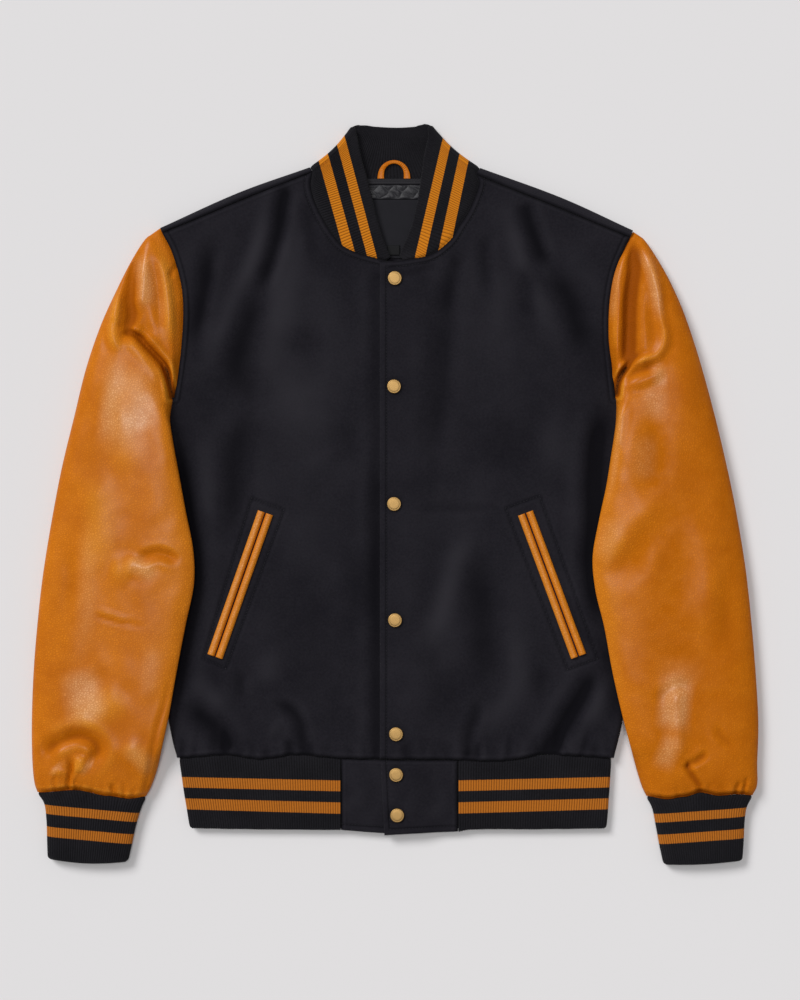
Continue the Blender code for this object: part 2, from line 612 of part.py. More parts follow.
def back():
    """The back: flat below, turned up at the sides and over the shoulders to their forward seams."""
    shoulder, neck = SHOULDER_STRETCHES, NECK_COLUMNS
    columns, rows = 2 * shoulder + neck, sum(BACK_ROWS)
    reach = LAID / 2
    edges, shoulders = {}, {}
    for side in ("right", "left"):
        edges[side] = [side_line(side, t / BACK_ROWS[0], reach) for t in range(BACK_ROWS[0] + 1)]
        edges[side] += armhole_points(side)[1:-1] + [shoulder_line(side, 1.0, reach)]
        shoulders[side] = [shoulder_line(side, t / shoulder, reach) for t in range(shoulder + 1)]
    top = list(reversed(shoulders["right"])) + back_neck_points()[1:-1] + shoulders["left"]
    hem = points_of([edges["right"][0]] + BACK_HEM[1:-1] + [edges["left"][0]], columns)

    def cell(i, j):
        x, y = coons(hem, top, edges["right"], edges["left"], i, j)
        if j > BACK_ROWS[0] and i in (0, columns):
            x += GAP / 2 if i == 0 else -GAP / 2
        return {"x": x, "y": y, "height": LAID, "phi": 0.0}

    cloth = Cloth()
    patch = cloth.grid([[cell(i, j) for i in range(columns + 1)] for j in range(rows + 1)])
    for side, column, out in (("right", 0, (-1.0, 0.0)), ("left", columns, (1.0, 0.0))):
        roll = []
        for j in range(BACK_ROWS[0] + 1):
            edge = cloth.cells[patch[j][column]]
            angles = [SEAM_ANGLE * step / ROLL_STEPS for step in range(1, ROLL_STEPS + 1)]
            roll.append([{**edge, "phi": angle, "out": out} for angle in angles])
        numbers = cloth.grid(roll)
        cloth.join([[patch[j][column], numbers[j][0]] for j in range(BACK_ROWS[0] + 1)])
        turn = []
        seam = points_of(shoulder_seam(side, -GAP / 2), shoulder)
        for t in range(shoulder + 1):
            share = t / shoulder
            edge = cloth.cells[patch[rows][shoulder - t if side == "right" else shoulder + neck + t]]
            out_here = shoulder_out(side, share)
            strip = [{**edge, "phi": 180.0 * step / FOLD_STEPS, "out": out_here}
                     for step in range(1, FOLD_STEPS + 1)]
            x, y = seam[t]
            strip.append({"x": x, "y": y, "height": LAID, "phi": 180.0, "out": out_here})
            turn.append(strip)
        numbers = cloth.grid(turn)
        start = [patch[rows][shoulder - t if side == "right" else shoulder + neck + t]
                 for t in range(shoulder + 1)]
        cloth.join([[start[t], numbers[t][0]] for t in range(shoulder + 1)])
    return cloth.solid("back", WOOL, "wool")


def side_x(side, y):
    """The body's side silhouette at a height."""
    rows = SIDE[side]
    for lower, upper in zip(rows, rows[1:]):
        if y <= upper[1]:
            share = max(0.0, (y - lower[1]) / (upper[1] - lower[1]))
            return lower[0] + (upper[0] - lower[0]) * share
    return rows[-1][0]


def resting_height(side, x, y):
    """What lies under a sleeve at a point: the surface, or the side of the body that it laps over."""
    inside = (x - side_x(side, y)) * (1 if side == "right" else -1)
    near_body = ease((inside + BESIDE_BODY) / BESIDE_RAMP)
    below_armpit = ease((ARMPIT_Y - y) / ARMPIT_RAMP)
    above_hem = 1.0 if inside > -HEM_REACH else ease((y - HEM_Y) / HEM_RAMP)
    return (LAID + BODY_CLEAR) * near_body * below_armpit * above_hem


def tube(name, rows, rings, thetas, wall, finish, bow, rest, folds, closed=True, ribs=0):
    """A laid tube through a table of sections, open at both ends, with a plain wall. thetas go round it,
    over the top from 0 to pi. A tube that isn't closed is open along its two edges too, and ribs counts
    the columns that have them."""
    bm = bmesh.new()

    def point(share, theta, depth):
        ox, oy, ix, iy, crown, mid, flatness, bowed = table(rows, share)
        length = sqrt((ix - ox) ** 2 + (iy - oy) ** 2)
        a = (1 - cos(theta)) / 2
        inside = depth / length + a * (1 - 2 * depth / length)
        dx, dy, wave = bow(inside, share, sin(theta) > 0)
        x = ox + (ix - ox) * inside + dx * bowed
        y = oy + (iy - oy) * inside + dy * bowed + wave
        under = rest(x, y)
        if sin(theta) > -1e-9:
            k = sqrt(max(0.0, 1 - abs(2 * a - 1) ** flatness))
            lift = rest(ix, iy) * ease((a - CROWN_LEANS) / (1 - CROWN_LEANS))
            room = (crown - mid - LAP_SAG * lift) * k
            pressed = min(fold_depth(folds, x, y) * min(1.0, k * FOLD_REACH), room * FOLD_LIMIT)
            return place(x, y, lift + mid + room - depth * k - pressed)
        k = sqrt(max(0.0, 1 - abs(2 * a - 1) ** UNDERSIDE_FLATNESS))
        return place(x, y, under + depth * k + mid * (1 - k))

    skins = []
    for depth in (0.0, wall):
        skin = []
        for j in range(rings + 1):
            ring = []
            for i, theta in enumerate(thetas):
                raised = RIB_RAISED if depth == 0.0 and i % 2 and i < ribs else 0.0
                ring.append(bm.verts.new(point(j / rings, theta, depth - raised)))
            skin.append(ring)
        skins.append(skin)
    count = len(thetas)
    outer, inner = skins
    for i in range(count if closed else count - 1):
        k = (i + 1) % count
        for j in range(rings):
            bm.faces.new([outer[j][i], outer[j][k], outer[j + 1][k], outer[j + 1][i]])
            bm.faces.new([inner[j][k], inner[j][i], inner[j + 1][i], inner[j + 1][k]])
        for j in (0, rings):
            bm.faces.new([outer[j][i], outer[j][k], inner[j][k], inner[j][i]])
    if not closed:
        for i in (0, count - 1):
            for j in range(rings):
                bm.faces.new([outer[j][i], outer[j + 1][i], inner[j + 1][i], inner[j][i]])
    plain_inside(bm, [(outer[j][i], inner[j][i]) for j in range(rings + 1) for i in range(1, ribs, 2)])
    return finished(name, bm, finish)


def turns(start, end, count):
    """Evenly spaced angles from a start to an end, both among them."""
    return [start + (end - start) * i / count for i in range(count + 1)]


def sleeve(side):
    """A leather sleeve from the armhole to the cuff: the top sleeve turns under at both sides, where it
    meets the flat undersleeve."""
    rows = SLEEVE[side]
    start, end = rows[0][:2], rows[0][2:4]
    away = (-GAP if side == "right" else GAP, 0.0)
    seam = [start] + [(x + away[0], y) for x, y in reversed(armhole_points(side)[1:-1])] + [end]

    def bow(a, share, above):
        x, y = straight(seam, a)
        near_armhole = 1.0 if share < 0.5 else 0.0
        wave = cuff_seam(side, a) * ease((share - CUFF_NEAR) / (1 - CUFF_NEAR)) * above
        return ((x - start[0] - (end[0] - start[0]) * a) * near_armhole,
                (y - start[1] - (end[1] - start[1]) * a) * near_armhole, wave)

    over = turns(-SLEEVE_SEAM, 0.0, SLEEVE_TURN)[:-1] + turns(0.0, pi, SLEEVE_COLUMNS)
    over += turns(pi, pi + SLEEVE_SEAM, SLEEVE_TURN)[1:]
    under = turns(pi + SLEEVE_SEAM + SEAM_TURN, 2 * pi - SLEEVE_SEAM - SEAM_TURN, SLEEVE_BELOW)
    for name, thetas in (("topsleeve_", over), ("undersleeve_", under)):
        tube(name + side, rows, SLEEVE_RINGS, thetas, LEATHER, "leather", bow,
             lambda x, y: resting_height(side, x, y), SLEEVE_FOLDS[side], closed=False)


def cuff_seam(side, a):
    """The wave of the cuff's seam, in straight stretches between the sleeve's own corners."""
    shares = [(1 - cos(pi * i / SLEEVE_COLUMNS)) / 2 for i in range(SLEEVE_COLUMNS + 1)]
    wave = [(share, table_at(CUFF_SEAM[side], share)) for share in shares]
    for lower, upper in zip(wave, wave[1:]):
        if a <= upper[0]:
            return lower[1] + (upper[1] - lower[1]) * (a - lower[0]) / (upper[0] - lower[0])
    return wave[-1][1]


def table_at(rows, share):
    """Reads a two column table of share and value in straight stretches."""
    for lower, upper in zip(rows, rows[1:]):
        if share <= upper[0]:
            return lower[1] + (upper[1] - lower[1]) * ease((share - lower[0]) / (upper[0] - lower[0]))
    return rows[-1][1]


def cuff(side):
    """A ribbed cuff, from the gathered end of the sleeve to its opening."""
    def bow(a, share, above):
        seam = cuff_seam(side, a) * (1 - ease(share / CUFF_WAVED)) * above
        belly = CUFF_BELLY[side] * sin(pi * a) * ease((share - CUFF_BELLIED) / (1 - CUFF_BELLIED))
        return (0.0, 0.0, seam - belly)

    thetas = turns(0.0, pi, 2 * CUFF_RIBS) + turns(pi, 2 * pi, CUFF_BELOW)[1:-1]
    tube("cuff_" + side, CUFF[side], CUFF_RINGS, thetas, KNIT, "knit", bow, lambda x, y: 0.0, [],
         ribs=2 * CUFF_RIBS)


def strip(name, sections, rows, finish):
    """A folded strip of rib knit: sections across it, each with its ends and its place round the fold."""
    cloth = Cloth()
    grid = []
    for section in sections:
        line = []
        for row in range(rows + 1):
            w = row / rows
            x, y = blend(section["free"], section["seam"], w)
            line.append({"x": x, "y": y, "height": section["height"](x, y, w),
                         "phi": section["phi"], "out": section["out"](w)})
        grid.append(line)
    numbers = cloth.grid(grid)
    for index, section in enumerate(sections):
        if section["rib"]:
            for number in numbers[index]:
                cloth.raised[number] = RIB_RAISED
    return cloth.solid(name, KNIT, finish)


def collar():
    """The collar: a front part, the fold at the neck, the back part below, and the same again."""
    fold = {}
    for side in ("right", "left"):
        turn = -1 if side == "right" else 1
        top = COLLAR_FREE[side][0]
        free_out = outward(top, SHOULDER[side][0], side)
        free_out = free_out if free_out[0] * turn > 0 else (-free_out[0], -free_out[1])
        seam_out = shoulder_out(side, 0.0)
        axis = inset(SHOULDER[side][0], seam_out, LAID / 2)
        fold[side] = {
            "free": inset(top, free_out, COLLAR_LAID / 2),
            "seam": (axis[0] + seam_out[1] * -turn * SEAM_OFFSET, axis[1] + seam_out[0] * turn * SEAM_OFFSET),
            "out": lambda w, f=free_out, s=seam_out: blend(f, s, w),
        }

    def front_part(side):
        free = [fold[side]["free"]] + COLLAR_FREE[side][1:]
        neckline = list(reversed(neckline_points(side)))
        reach = 1 - COLLAR_END[side] / sum(stretches(neckline))
        result = []
        last = 2 * COLLAR_RIBS
        for i in range(last + 1):
            edge = spline(free, i / last)
            seam = beside(neckline, straight(neckline, (i - 1) / (last - 1) * reach), edge, SEAM_OFFSET)
            result.append({"free": edge, "seam": seam if i else fold[side]["seam"], "phi": 180.0,
                           "out": fold[side]["out"], "rib": i % 2 == 1 and i > 1,
                           "height": lambda x, y, w, s=side: collar_height(x, y, w, s)})
        return result

    def turn_part(side):
        at = fold[side]
        return [{"free": at["free"], "seam": at["seam"],
                 "phi": 180.0 - 180.0 * step / FOLD_STEPS, "out": at["out"], "rib": False,
                 "height": lambda x, y, w: COLLAR_LAID + (LAID - COLLAR_LAID) * ease(w)}
                for step in range(1, FOLD_STEPS)]

    back_free = [fold["right"]["free"]] + COLLAR_BACK_TOP[1:-1] + [fold["left"]["free"]]
    back_seam = [fold["right"]["seam"]] + [(x, y + GAP) for x, y in back_neck_points()[1:-1]]
    back_seam.append(fold["left"]["seam"])
    back_part = [{"free": spline(back_free, t / NECK_COLUMNS), "seam": back_seam[t], "phi": 0.0,
                  "out": lambda w: (0.0, 1.0), "rib": False, "height": lambda x, y, w: COLLAR_LAID}
                 for t in range(NECK_COLUMNS + 1)]
    sections = list(reversed(front_part("right"))) + turn_part("right") + back_part
    sections += list(reversed(turn_part("left"))) + front_part("left")
    return strip("collar", sections, COLLAR_ROWS, "knit")


def band_height(x, y, w):
    """Height of the waistband's upper layer: a little lower at its edges."""
    return BAND_LAID - BAND_DROP * (1 - sin(pi * (BAND_CROWN + (1 - BAND_CROWN) * w)))


def waistband():
    """The waistband from tab to tab: a front part, the fold at the side, the back part, and again."""
    parts = {}
    for side in ("right", "left"):
        sign = -1.0 if side == "right" else 1.0
        radius = BAND_LAID / 2
        fold_free = (BAND_FOLD[side][-1][0] - sign * radius, BAND_FOLD[side][-1][1])
        start_x = BAND_LOWER[side][0][0] + sign * GAP
        end_x = BAND_FOLD[side][0][0] - sign * radius
        ribs = round(abs(end_x - start_x) / RIB_PITCH)
        hem = hem_points(side)
        seam = []
        for i in range(2 * ribs + 1):
            x = start_x + (end_x - start_x) * i / (2 * ribs)
            seam.append((x, height_of(hem, x) - GAP))
        free = [(start_x, BAND_LOWER[side][0][1])] + BAND_LOWER[side][1:-1] + [fold_free]
        parts[side] = {"seam": seam, "free": free, "ribs": ribs, "out": (sign, 0.0)}

    def front_part(side):
        part = parts[side]
        count = 2 * part["ribs"]
        return [{"free": spline(part["free"], i / count), "seam": part["seam"][i],
                 "phi": 180.0, "out": lambda w, o=part["out"]: o, "rib": i % 2 == 1,
                 "height": band_height} for i in range(count + 1)]

    def turn_part(side):
        part = parts[side]
        return [{"free": part["free"][-1], "seam": part["seam"][-1],
                 "phi": 180.0 - 180.0 * step / FOLD_STEPS, "out": lambda w, o=part["out"]: o,
                 "rib": False, "height": band_height} for step in range(1, FOLD_STEPS)]

    steps = 2 * SHOULDER_STRETCHES + NECK_COLUMNS
    ends = [side_line(side, 0.0, LAID / 2) for side in ("right", "left")]
    back_hem = points_of([ends[0]] + BACK_HEM[1:-1] + [ends[1]], steps)
    seam = [parts["right"]["seam"][-1]] + [(x, y - GAP) for x, y in back_hem[1:-1]]
    seam.append(parts["left"]["seam"][-1])
    free = [parts["right"]["free"][-1]] + BAND_BACK_LOWER[1:-1] + [parts["left"]["free"][-1]]
    back_part = [{"free": spline(free, t / steps), "seam": seam[t], "phi": 0.0,
                  "out": lambda w: (0.0, 0.0), "rib": False, "height": lambda x, y, w: BAND_LAID}
                 for t in range(steps + 1)]
    sections = front_part("right") + turn_part("right") + back_part
    sections += list(reversed(turn_part("left"))) + list(reversed(front_part("left")))
    return strip("waistband", sections, BAND_ROWS, "knit")


def height_of(rows, x):
    """The y of a curve of rows at an x, in straight stretches."""
    for start, end in zip(rows, rows[1:]):
        if min(start[0], end[0]) <= x <= max(start[0], end[0]):
            return start[1] + (end[1] - start[1]) * (x - start[0]) / (end[0] - start[0])
    return rows[-1][1]


def tab(side):
    """A wool tab at the end of the waistband."""
    lap = side == "left"

    def cell(i, j):
        ax, ay, bx, by = table(TAB[side], i / TAB_COLUMNS)
        x, y = blend((bx, by), (ax, ay - GAP / 2), j / TAB_ROWS)
        height = BAND_LAID
        if lap:
            height += (KNIT + GAP + LAP_CLEAR) * lapped(x)
        return {"x": x, "y": y, "height": height}

    cloth = Cloth()
    cloth.grid([[cell(i, j) for i in range(TAB_COLUMNS + 1)] for j in range(TAB_ROWS + 1)])
    return cloth.solid("tab_" + side, KNIT, "wool")


def surface_of(*objects):
    """A search tree over the outer faces of finished objects."""
    points, faces = [], []
    for obj in objects:
        first = len(points)
        points.extend(vertex.co.copy() for vertex in obj.data.vertices)
        obj.data.calc_loop_triangles()
        faces.extend([first + index for index in triangle.vertices] for triangle in obj.data.loop_triangles)
    return BVHTree.FromPolygons(points, faces)


def top_of(tree, x, y):
    """The height of a finished surface below a point, in millimetres."""
    above = place(x, y, 100.0)
    hit = tree.ray_cast(above, Vector((0.0, 0.0, -1.0)))[0]
    return hit.z / MM if hit else 0.0


def pad(name, point, columns, rows, finish, lower, upper, tree):
    """A thin piece on a panel: its underside follows the panel's surface, and its top rises over it."""
    bm = bmesh.new()
    skins = []
    for rise in (lower, upper):
        skin = []
        for j in range(rows + 1):
            line = []
            for i in range(columns + 1):
                x, y = point(i / columns, j / rows)
                base = top_of(tree, x, y)
                line.append(bm.verts.new(place(x, y, base + rise(i / columns, j / rows))))
            skin.append(line)
        skins.append(skin)
    low, high = skins
    for j in range(rows):
        for i in range(columns):
            bm.faces.new([high[j][i], high[j][i + 1], high[j + 1][i + 1], high[j + 1][i]])
            bm.faces.new([low[j + 1][i], low[j + 1][i + 1], low[j][i + 1], low[j][i]])
    rim = [(0, i) for i in range(columns)] + [(j, columns) for j in range(rows)]
    rim += [(rows, i) for i in range(columns, 0, -1)] + [(j, 0) for j in range(rows, 0, -1)]
    for (j, i), (l, k) in zip(rim, rim[1:] + rim[:1]):
        bm.faces.new([low[j][i], low[l][k], high[l][k], high[j][i]])
    return finished(name, bm, finish)


def pocket_welts(side, tree):
    """The two leather welts of a slanted pocket, side by side along its slit."""
    top, low = POCKET[side]
    along = (low[0] - top[0], low[1] - top[1])
    length = sqrt(along[0] ** 2 + along[1] ** 2)
    across = (-along[1] / length, along[0] / length)
    outer = -1 if side == "right" else 1
    for which, turn in (("outer", outer), ("inner", -outer)):
        turn = turn if across[0] > 0 else -turn

        def point(u, v, turn=turn):
            distance = turn * (WELT_GAP / 2 + u * (WELT_WIDTH - WELT_GAP / 2))
            x, y = blend(top, low, v)
            return (x + across[0] * distance, y + across[1] * distance)

        pad("pocket_welt_" + side + "_" + which, point, *WELT_CELLS, "leather", lambda u, v: WELT_LIFT,
            lambda u, v: WELT_LIFT + WELT_EDGE + WELT_RISE * sin(pi * (WELT_FLAT + (1 - 2 * WELT_FLAT) * u)),
            tree)


def snaps(tree):
    """Seven domed caps, turned from one profile."""
    bm = bmesh.new()
    verts = [bm.verts.new((share * SNAP_RADIUS * MM, 0.0, height * MM)) for share, height in
             reversed(SNAP_PROFILE)]
    for start, end in zip(verts, verts[1:]):
        bm.edges.new((start, end))
    mesh = bpy.data.meshes.new("snap_profile")
    bm.to_mesh(mesh)
    bm.free()
    mesh.materials.append(MATERIALS["brass"])
    for number, (x, y) in enumerate(SNAPS, 1):
        ring = [(x + SNAP_RADIUS * cos(a), y + SNAP_RADIUS * sin(a)) for a in turns(0.0, 2 * pi, 12)]
        seat = max(top_of(tree, *spot) for spot in ring + [(x, y)])
        obj = bpy.data.objects.new("snap_" + str(number), mesh)
        obj.location = place(x, y, seat + GAP)
        turn = obj.modifiers.new("Turned", "SCREW")
        turn.steps = SNAP_STEPS
        turn.render_steps = SNAP_STEPS
        turn.use_merge_vertices = True
        turn.merge_threshold = 0.00001
        JACKET.objects.link(obj)


def flat_piece(name, box, level, finish, columns=1, rows=1, raised=None):
    """A rectangle of thin cloth lying level, with an optional relief on its upper face."""
    x0, x1, y0, y1 = box
    pad(name, lambda u, v: (x0 + (x1 - x0) * u, y0 + (y1 - y0) * v), columns, rows, finish,
        lambda u, v: level, lambda u, v: level + TRIM + (raised(u, v) if raised else 0.0), FLOOR)


def inside_neck():
    """What shows inside the back neck: tape over the seam, quilted satin, the facing and the label."""
    facing_level = WOOL + GAP
    flat_piece("neck_facing", NECK_FACING, facing_level, "wool")
    flat_piece("neck_label", NECK_LABEL, facing_level + TRIM + GAP, "satin")
    wide = NECK_LINING[1] - NECK_LINING[0]
    tall = NECK_LINING[3] - NECK_LINING[2]

    def puff(u, v):
        edge = min(1.0, u / QUILT_EDGE, (1 - u) / QUILT_EDGE, v / QUILT_EDGE, (1 - v) / QUILT_EDGE)
        a, b = u * wide / QUILT_PITCH, v * tall / QUILT_PITCH
        return QUILT_RAISED * abs(sin(pi * (a + b)) * sin(pi * (a - b))) ** QUILT_ROUND * edge

    flat_piece("neck_lining", NECK_LINING, facing_level, "satin", *QUILT_CELLS, puff)
    flat_piece("neck_tape", NECK_TAPE, KNIT + GAP, "tape")


def hanger_loop():
    """The leather loop: a strip that leaves the tape, arches and comes back to it."""
    width_feet, width_top = LOOP_STRIP
    base = KNIT + GAP
    start_y = NECK_TAPE[3] + GAP

    def strip_point(u, v):
        angle = pi * v
        middle = (LOOP_X - LOOP_FEET * cos(angle), start_y + LOOP_RISE * sin(angle) ** LOOP_ROUND)
        width = width_feet + (width_top - width_feet) * sin(angle)
        inward = (cos(angle), -sin(angle))
        offset = width * (u - 0.5)
        return (middle[0] + inward[0] * offset, max(middle[1] + inward[1] * offset, start_y))

    pad("hanger_loop", strip_point, *LOOP_CELLS, "leather", lambda u, v: base + LOOP_LIFT * sin(pi * v),
        lambda u, v: base + LOOP_LIFT * sin(pi * v) + LEATHER, FLOOR)


for old in list(bpy.data.objects):
    bpy.data.objects.remove(old, do_unlink=True)
JACKET = bpy.data.collections.new("varsity_jacket")
bpy.context.scene.collection.children.link(JACKET)
MATERIALS = {name: material(name, *finish) for name, finish in FINISHES.items()}
FLOOR = BVHTree.FromPolygons([(-1, -1, 0), (1, -1, 0), (1, 1, 0), (-1, 1, 0)], [(0, 1, 2, 3)])

back()
FRONTS = {side: front(side) for side in ("right", "left")}
TABS = {side: tab(side) for side in ("right", "left")}
for SIDE_NAME in ("right", "left"):
    sleeve(SIDE_NAME)
    cuff(SIDE_NAME)
    pocket_welts(SIDE_NAME, surface_of(FRONTS[SIDE_NAME]))
collar()
waistband()
snaps(surface_of(FRONTS["left"], TABS["left"]))
inside_neck()
hanger_loop()
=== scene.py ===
# %% [markdown]
# # A varsity jacket, laid flat on its back
#
# The jacket's solids are packed as a CAD model, which is loaded here as a fixed frame. This notebook
# dresses it: every soft solid gives way to a finer shell of the same form, with the creases, ribs, seams
# and stitches that a tailor would see, and with finishes made of nodes.

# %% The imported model
import math

import bpy
import numpy as np
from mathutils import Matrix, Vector
from mathutils.bvhtree import BVHTree


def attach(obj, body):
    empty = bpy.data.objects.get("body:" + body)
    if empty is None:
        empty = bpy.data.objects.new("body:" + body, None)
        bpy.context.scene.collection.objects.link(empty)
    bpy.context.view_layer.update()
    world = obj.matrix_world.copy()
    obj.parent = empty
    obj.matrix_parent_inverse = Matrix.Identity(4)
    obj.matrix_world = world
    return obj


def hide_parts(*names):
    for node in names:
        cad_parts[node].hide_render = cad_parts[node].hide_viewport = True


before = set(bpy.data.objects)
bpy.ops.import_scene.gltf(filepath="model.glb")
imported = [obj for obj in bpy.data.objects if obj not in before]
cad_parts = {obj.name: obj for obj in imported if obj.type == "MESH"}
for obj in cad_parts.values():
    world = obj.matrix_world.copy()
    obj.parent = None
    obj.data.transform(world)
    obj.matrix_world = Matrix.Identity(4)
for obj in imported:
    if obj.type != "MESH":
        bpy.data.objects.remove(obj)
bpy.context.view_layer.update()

# %% [markdown]
# ## Measures
#
# A jacket is cut from flat patterns, so it is drawn here as a tailor draws it, in millimetres on a flat
# map: x runs from the wearer's right to the left, y is measured up from the cuffs' ends, and z up from the
# table. Only the finished meshes are turned into Blender's metres, with the origin at the middle of the
# outline, where the CAD model has it.

# %% Walls and heights
MM = 0.001
LENGTH = 783.4              # from the cuffs' ends to the collar's top edge
GAP = 0.3                   # between two pieces at a seam
LAP_AIR = GAP + 0.2         # between the two layers of the lap
WOOL, LEATHER, KNIT, TRIM = 2.6, 1.6, 3.0, 1.0      # walls
LAID = 11.5                 # height of the closed body
BAND_LAID = 9.8             # height of the waistband
COLLAR_LAID = 10.4          # height of the collar's upper layer at its free edge
OVERLAP_X = 15.2            # edge of the right front, under the left one
LAP_RAMP = 30.0             # width over which the left front comes down beside the lap
SEAM_ANGLE = 88.5           # where the side seam lies on the fold, from the lower layer
SIDE_STEPS = 10             # lines of points round the fold, up to that seam
FAR = 99.0                  # farther than anything reaches from an edge
SIDES = ("right", "left")
OUTWARD = {"right": -1, "left": 1}      # the way from the middle to each side
TWIN = {"right": 1, "left": 2}          # added to a seed, so that the two sides differ

# %% Outlines of the body, as x and y
SHOULDER = {
    "right": [(-91.2, 737.3), (-165.5, 710.8), (-249, 673.2)],
    "left": [(89.4, 736.7), (176.1, 704.9), (251, 670.6)],
}
ARMHOLE = {
    "right": [(-249, 672.7), (-236.3, 647.2), (-226.5, 612.3), (-224.3, 583), (-226.5, 546.5), (-230, 519),
              (-233.6, 495.7)],
    "left": [(251.1, 668.8), (242.1, 651), (231.9, 625), (226.2, 592.1), (225.5, 559.3), (228.3, 528.5),
             (231.9, 497.2)],
}
SIDE = {
    "right": [(-231.8, 113), (-238.1, 141.6), (-242.4, 173.4), (-244.5, 237), (-242.4, 332.4),
              (-240.1, 438.4), (-239.6, 493.5)],
    "left": [(230.9, 113), (239.5, 148), (242.1, 173.4), (244.2, 237), (242.1, 332.4), (238.6, 438.4),
             (237.8, 493.5)],
}
NECKLINE = {
    "right": [(15.2, 637.6), (2.5, 637.7), (-9.2, 638.2), (-20.8, 640.9), (-45.2, 648.3), (-60.1, 657.8),
              (-80.2, 688.6), (-89.7, 715.1), (-91, 731.5)],
    "left": [(-16.6, 637.6), (2.5, 637.9), (18.9, 640.3), (33.2, 643), (44.9, 648.8), (59.1, 661.5),
             (67.2, 674.8), (76.2, 688.6), (83.6, 705), (88.1, 720.4), (89.2, 728.5)],
}
HEM = {
    "right": [(15.2, 111.7), (-17, 111.7), (-57.9, 112.7), (-108.3, 116.2), (-142.1, 111.9),
              (-179.3, 116.2), (-231.8, 113.6)],
    "left": [(-16.6, 111.7), (64, 111), (111.7, 110), (158.3, 116.2), (230.9, 112.4)],
}
BACK_NECK = [(-91.2, 737.3), (-69.6, 727.8), (-26.1, 722.5), (1.4, 722), (26.9, 722.5), (62.9, 726.7),
             (89.4, 736.7)]
BACK_HEM = [(-231.8, 113.6), (-110, 112), (110, 112), (230.9, 112.4)]
SHOULDER_SEAM = {"right": (6.0, 2.8), "left": (8.3, 3.0)}   # forward of the fold: at the ends, more inside

# %% [markdown]
# ## Curves, distances and creases
#
# Cloth has few straight lines. A smooth curve through measured points gives every outline, and the
# distance from such a curve gives what follows it: the dip of a seam, the dent of a stitch line, a crease.
# A crease could be simulated, but a simulation lands each fold somewhere else. Here each one is given
# as a path with a depth, so that it falls where the arms and the gathers pull the cloth.

# %% Curves
def hermite(rows, knots, shares):
    """Reads rows smoothly at shares, where knots say the share of each row."""
    rows, knots = np.asarray(rows, float), np.asarray(knots, float)
    shares = np.clip(np.asarray(shares, float), 0.0, 1.0)
    last = len(rows) - 1
    span = np.clip(np.searchsorted(knots, shares, side="right") - 1, 0, last - 1)
    before, after = np.maximum(span - 1, 0), np.minimum(span + 2, last)
    width = (knots[span + 1] - knots[span])[..., None]
    t = (shares - knots[span])[..., None] / width
    leave = (rows[span + 1] - rows[before]) / (knots[span + 1] - knots[before])[..., None] * width
    arrive = (rows[after] - rows[span]) / (knots[after] - knots[span])[..., None] * width
    return ((2 * t ** 3 - 3 * t ** 2 + 1) * rows[span] + (t ** 3 - 2 * t ** 2 + t) * leave
            + (3 * t ** 2 - 2 * t ** 3) * rows[span + 1] + (t ** 3 - t ** 2) * arrive)


def curve(rows, shares):
    """Points of a smooth curve through rows of x and y, at shares of its length."""
    rows = np.asarray(rows, float)
    steps = np.linalg.norm(np.diff(rows[:, :2], axis=0), axis=1)
    return hermite(rows, np.concatenate([[0.0], np.cumsum(steps)]) / steps.sum(), shares)


def table(rows, shares):
    """Rows of a table, read smoothly between its evenly counted rows."""
    return hermite(rows, np.linspace(0, 1, len(rows)), shares)


def ease(value):
    """A smooth step from 0 to 1."""
    value = np.clip(value, 0.0, 1.0)
    return value * value * (3 - 2 * value)


def length_of(points):
    return float(np.linalg.norm(np.diff(points, axis=0), axis=1).sum())


# %% Distances
def to_path(x, y, points):
    """How far points lie from a path, on which side of it, and at which share of its length."""
    best, side, where = np.full(x.shape, 1e9), np.zeros(x.shape), np.zeros(x.shape)
    steps = np.diff(points, axis=0)
    lengths = np.linalg.norm(steps, axis=1)
    starts = np.concatenate([[0.0], np.cumsum(lengths)])
    for (px, py), (dx, dy), length, start in zip(points[:-1], steps, lengths, starts):
        t = np.clip(((x - px) * dx + (y - py) * dy) / length ** 2, 0, 1)
        ex, ey = x - px - t * dx, y - py - t * dy
        distance = np.hypot(ex, ey)
        near = distance < best
        best = np.where(near, distance, best)
        side = np.where(near, np.sign(dx * ey - dy * ex), side)
        where = np.where(near, start + t * length, where)
    return best, side, where / starts[-1]


def from_edges(x, y, *paths):
    """The distance from the nearest of several edges."""
    return np.minimum.reduce([to_path(x, y, path)[0] for path in paths])


# %% Creases
BESIDE = 0.20       # share of a crease's depth by which the cloth swells beside it


def pressed(creases, x, y, soft=1.0):
    """How deep creases push the cloth in. Rows: depth (minus for a ridge), half widths to the left and
    right of the path, shares of its length over which its two ends fade, and the path. soft widens them."""
    result = np.zeros(x.shape)
    for depth, (left, right), (fade_in, fade_out), points in creases:
        path = curve(points, np.linspace(0, 1, 7 * len(points)))
        left, right = left * soft, right * soft
        reach = 3.6 * max(left, right)
        low, high = path.min(axis=0) - reach, path.max(axis=0) + reach
        near = (x > low[0]) & (x < high[0]) & (y > low[1]) & (y < high[1])
        if not near.any():
            continue
        distance, side, share = to_path(x[near], y[near], path)
        q = distance / np.where(side > 0, left, right)
        swell = np.exp(-q * q) - BESIDE * np.exp(-((q - 2.0) / 0.8) ** 2)
        if fade_in:
            swell = swell * ease(share / fade_in)
        if fade_out:
            swell = swell * ease((1 - share) / fade_out)
        result[near] += depth * swell
    return result


def spots(rows, x, y):
    """Soft oval spots. Rows: strength, middle, half width and half height."""
    return sum(strength * np.exp(-((x - at_x) / wide) ** 2 - ((y - at_y) / high) ** 2)
               for strength, (at_x, at_y), (wide, high) in rows)


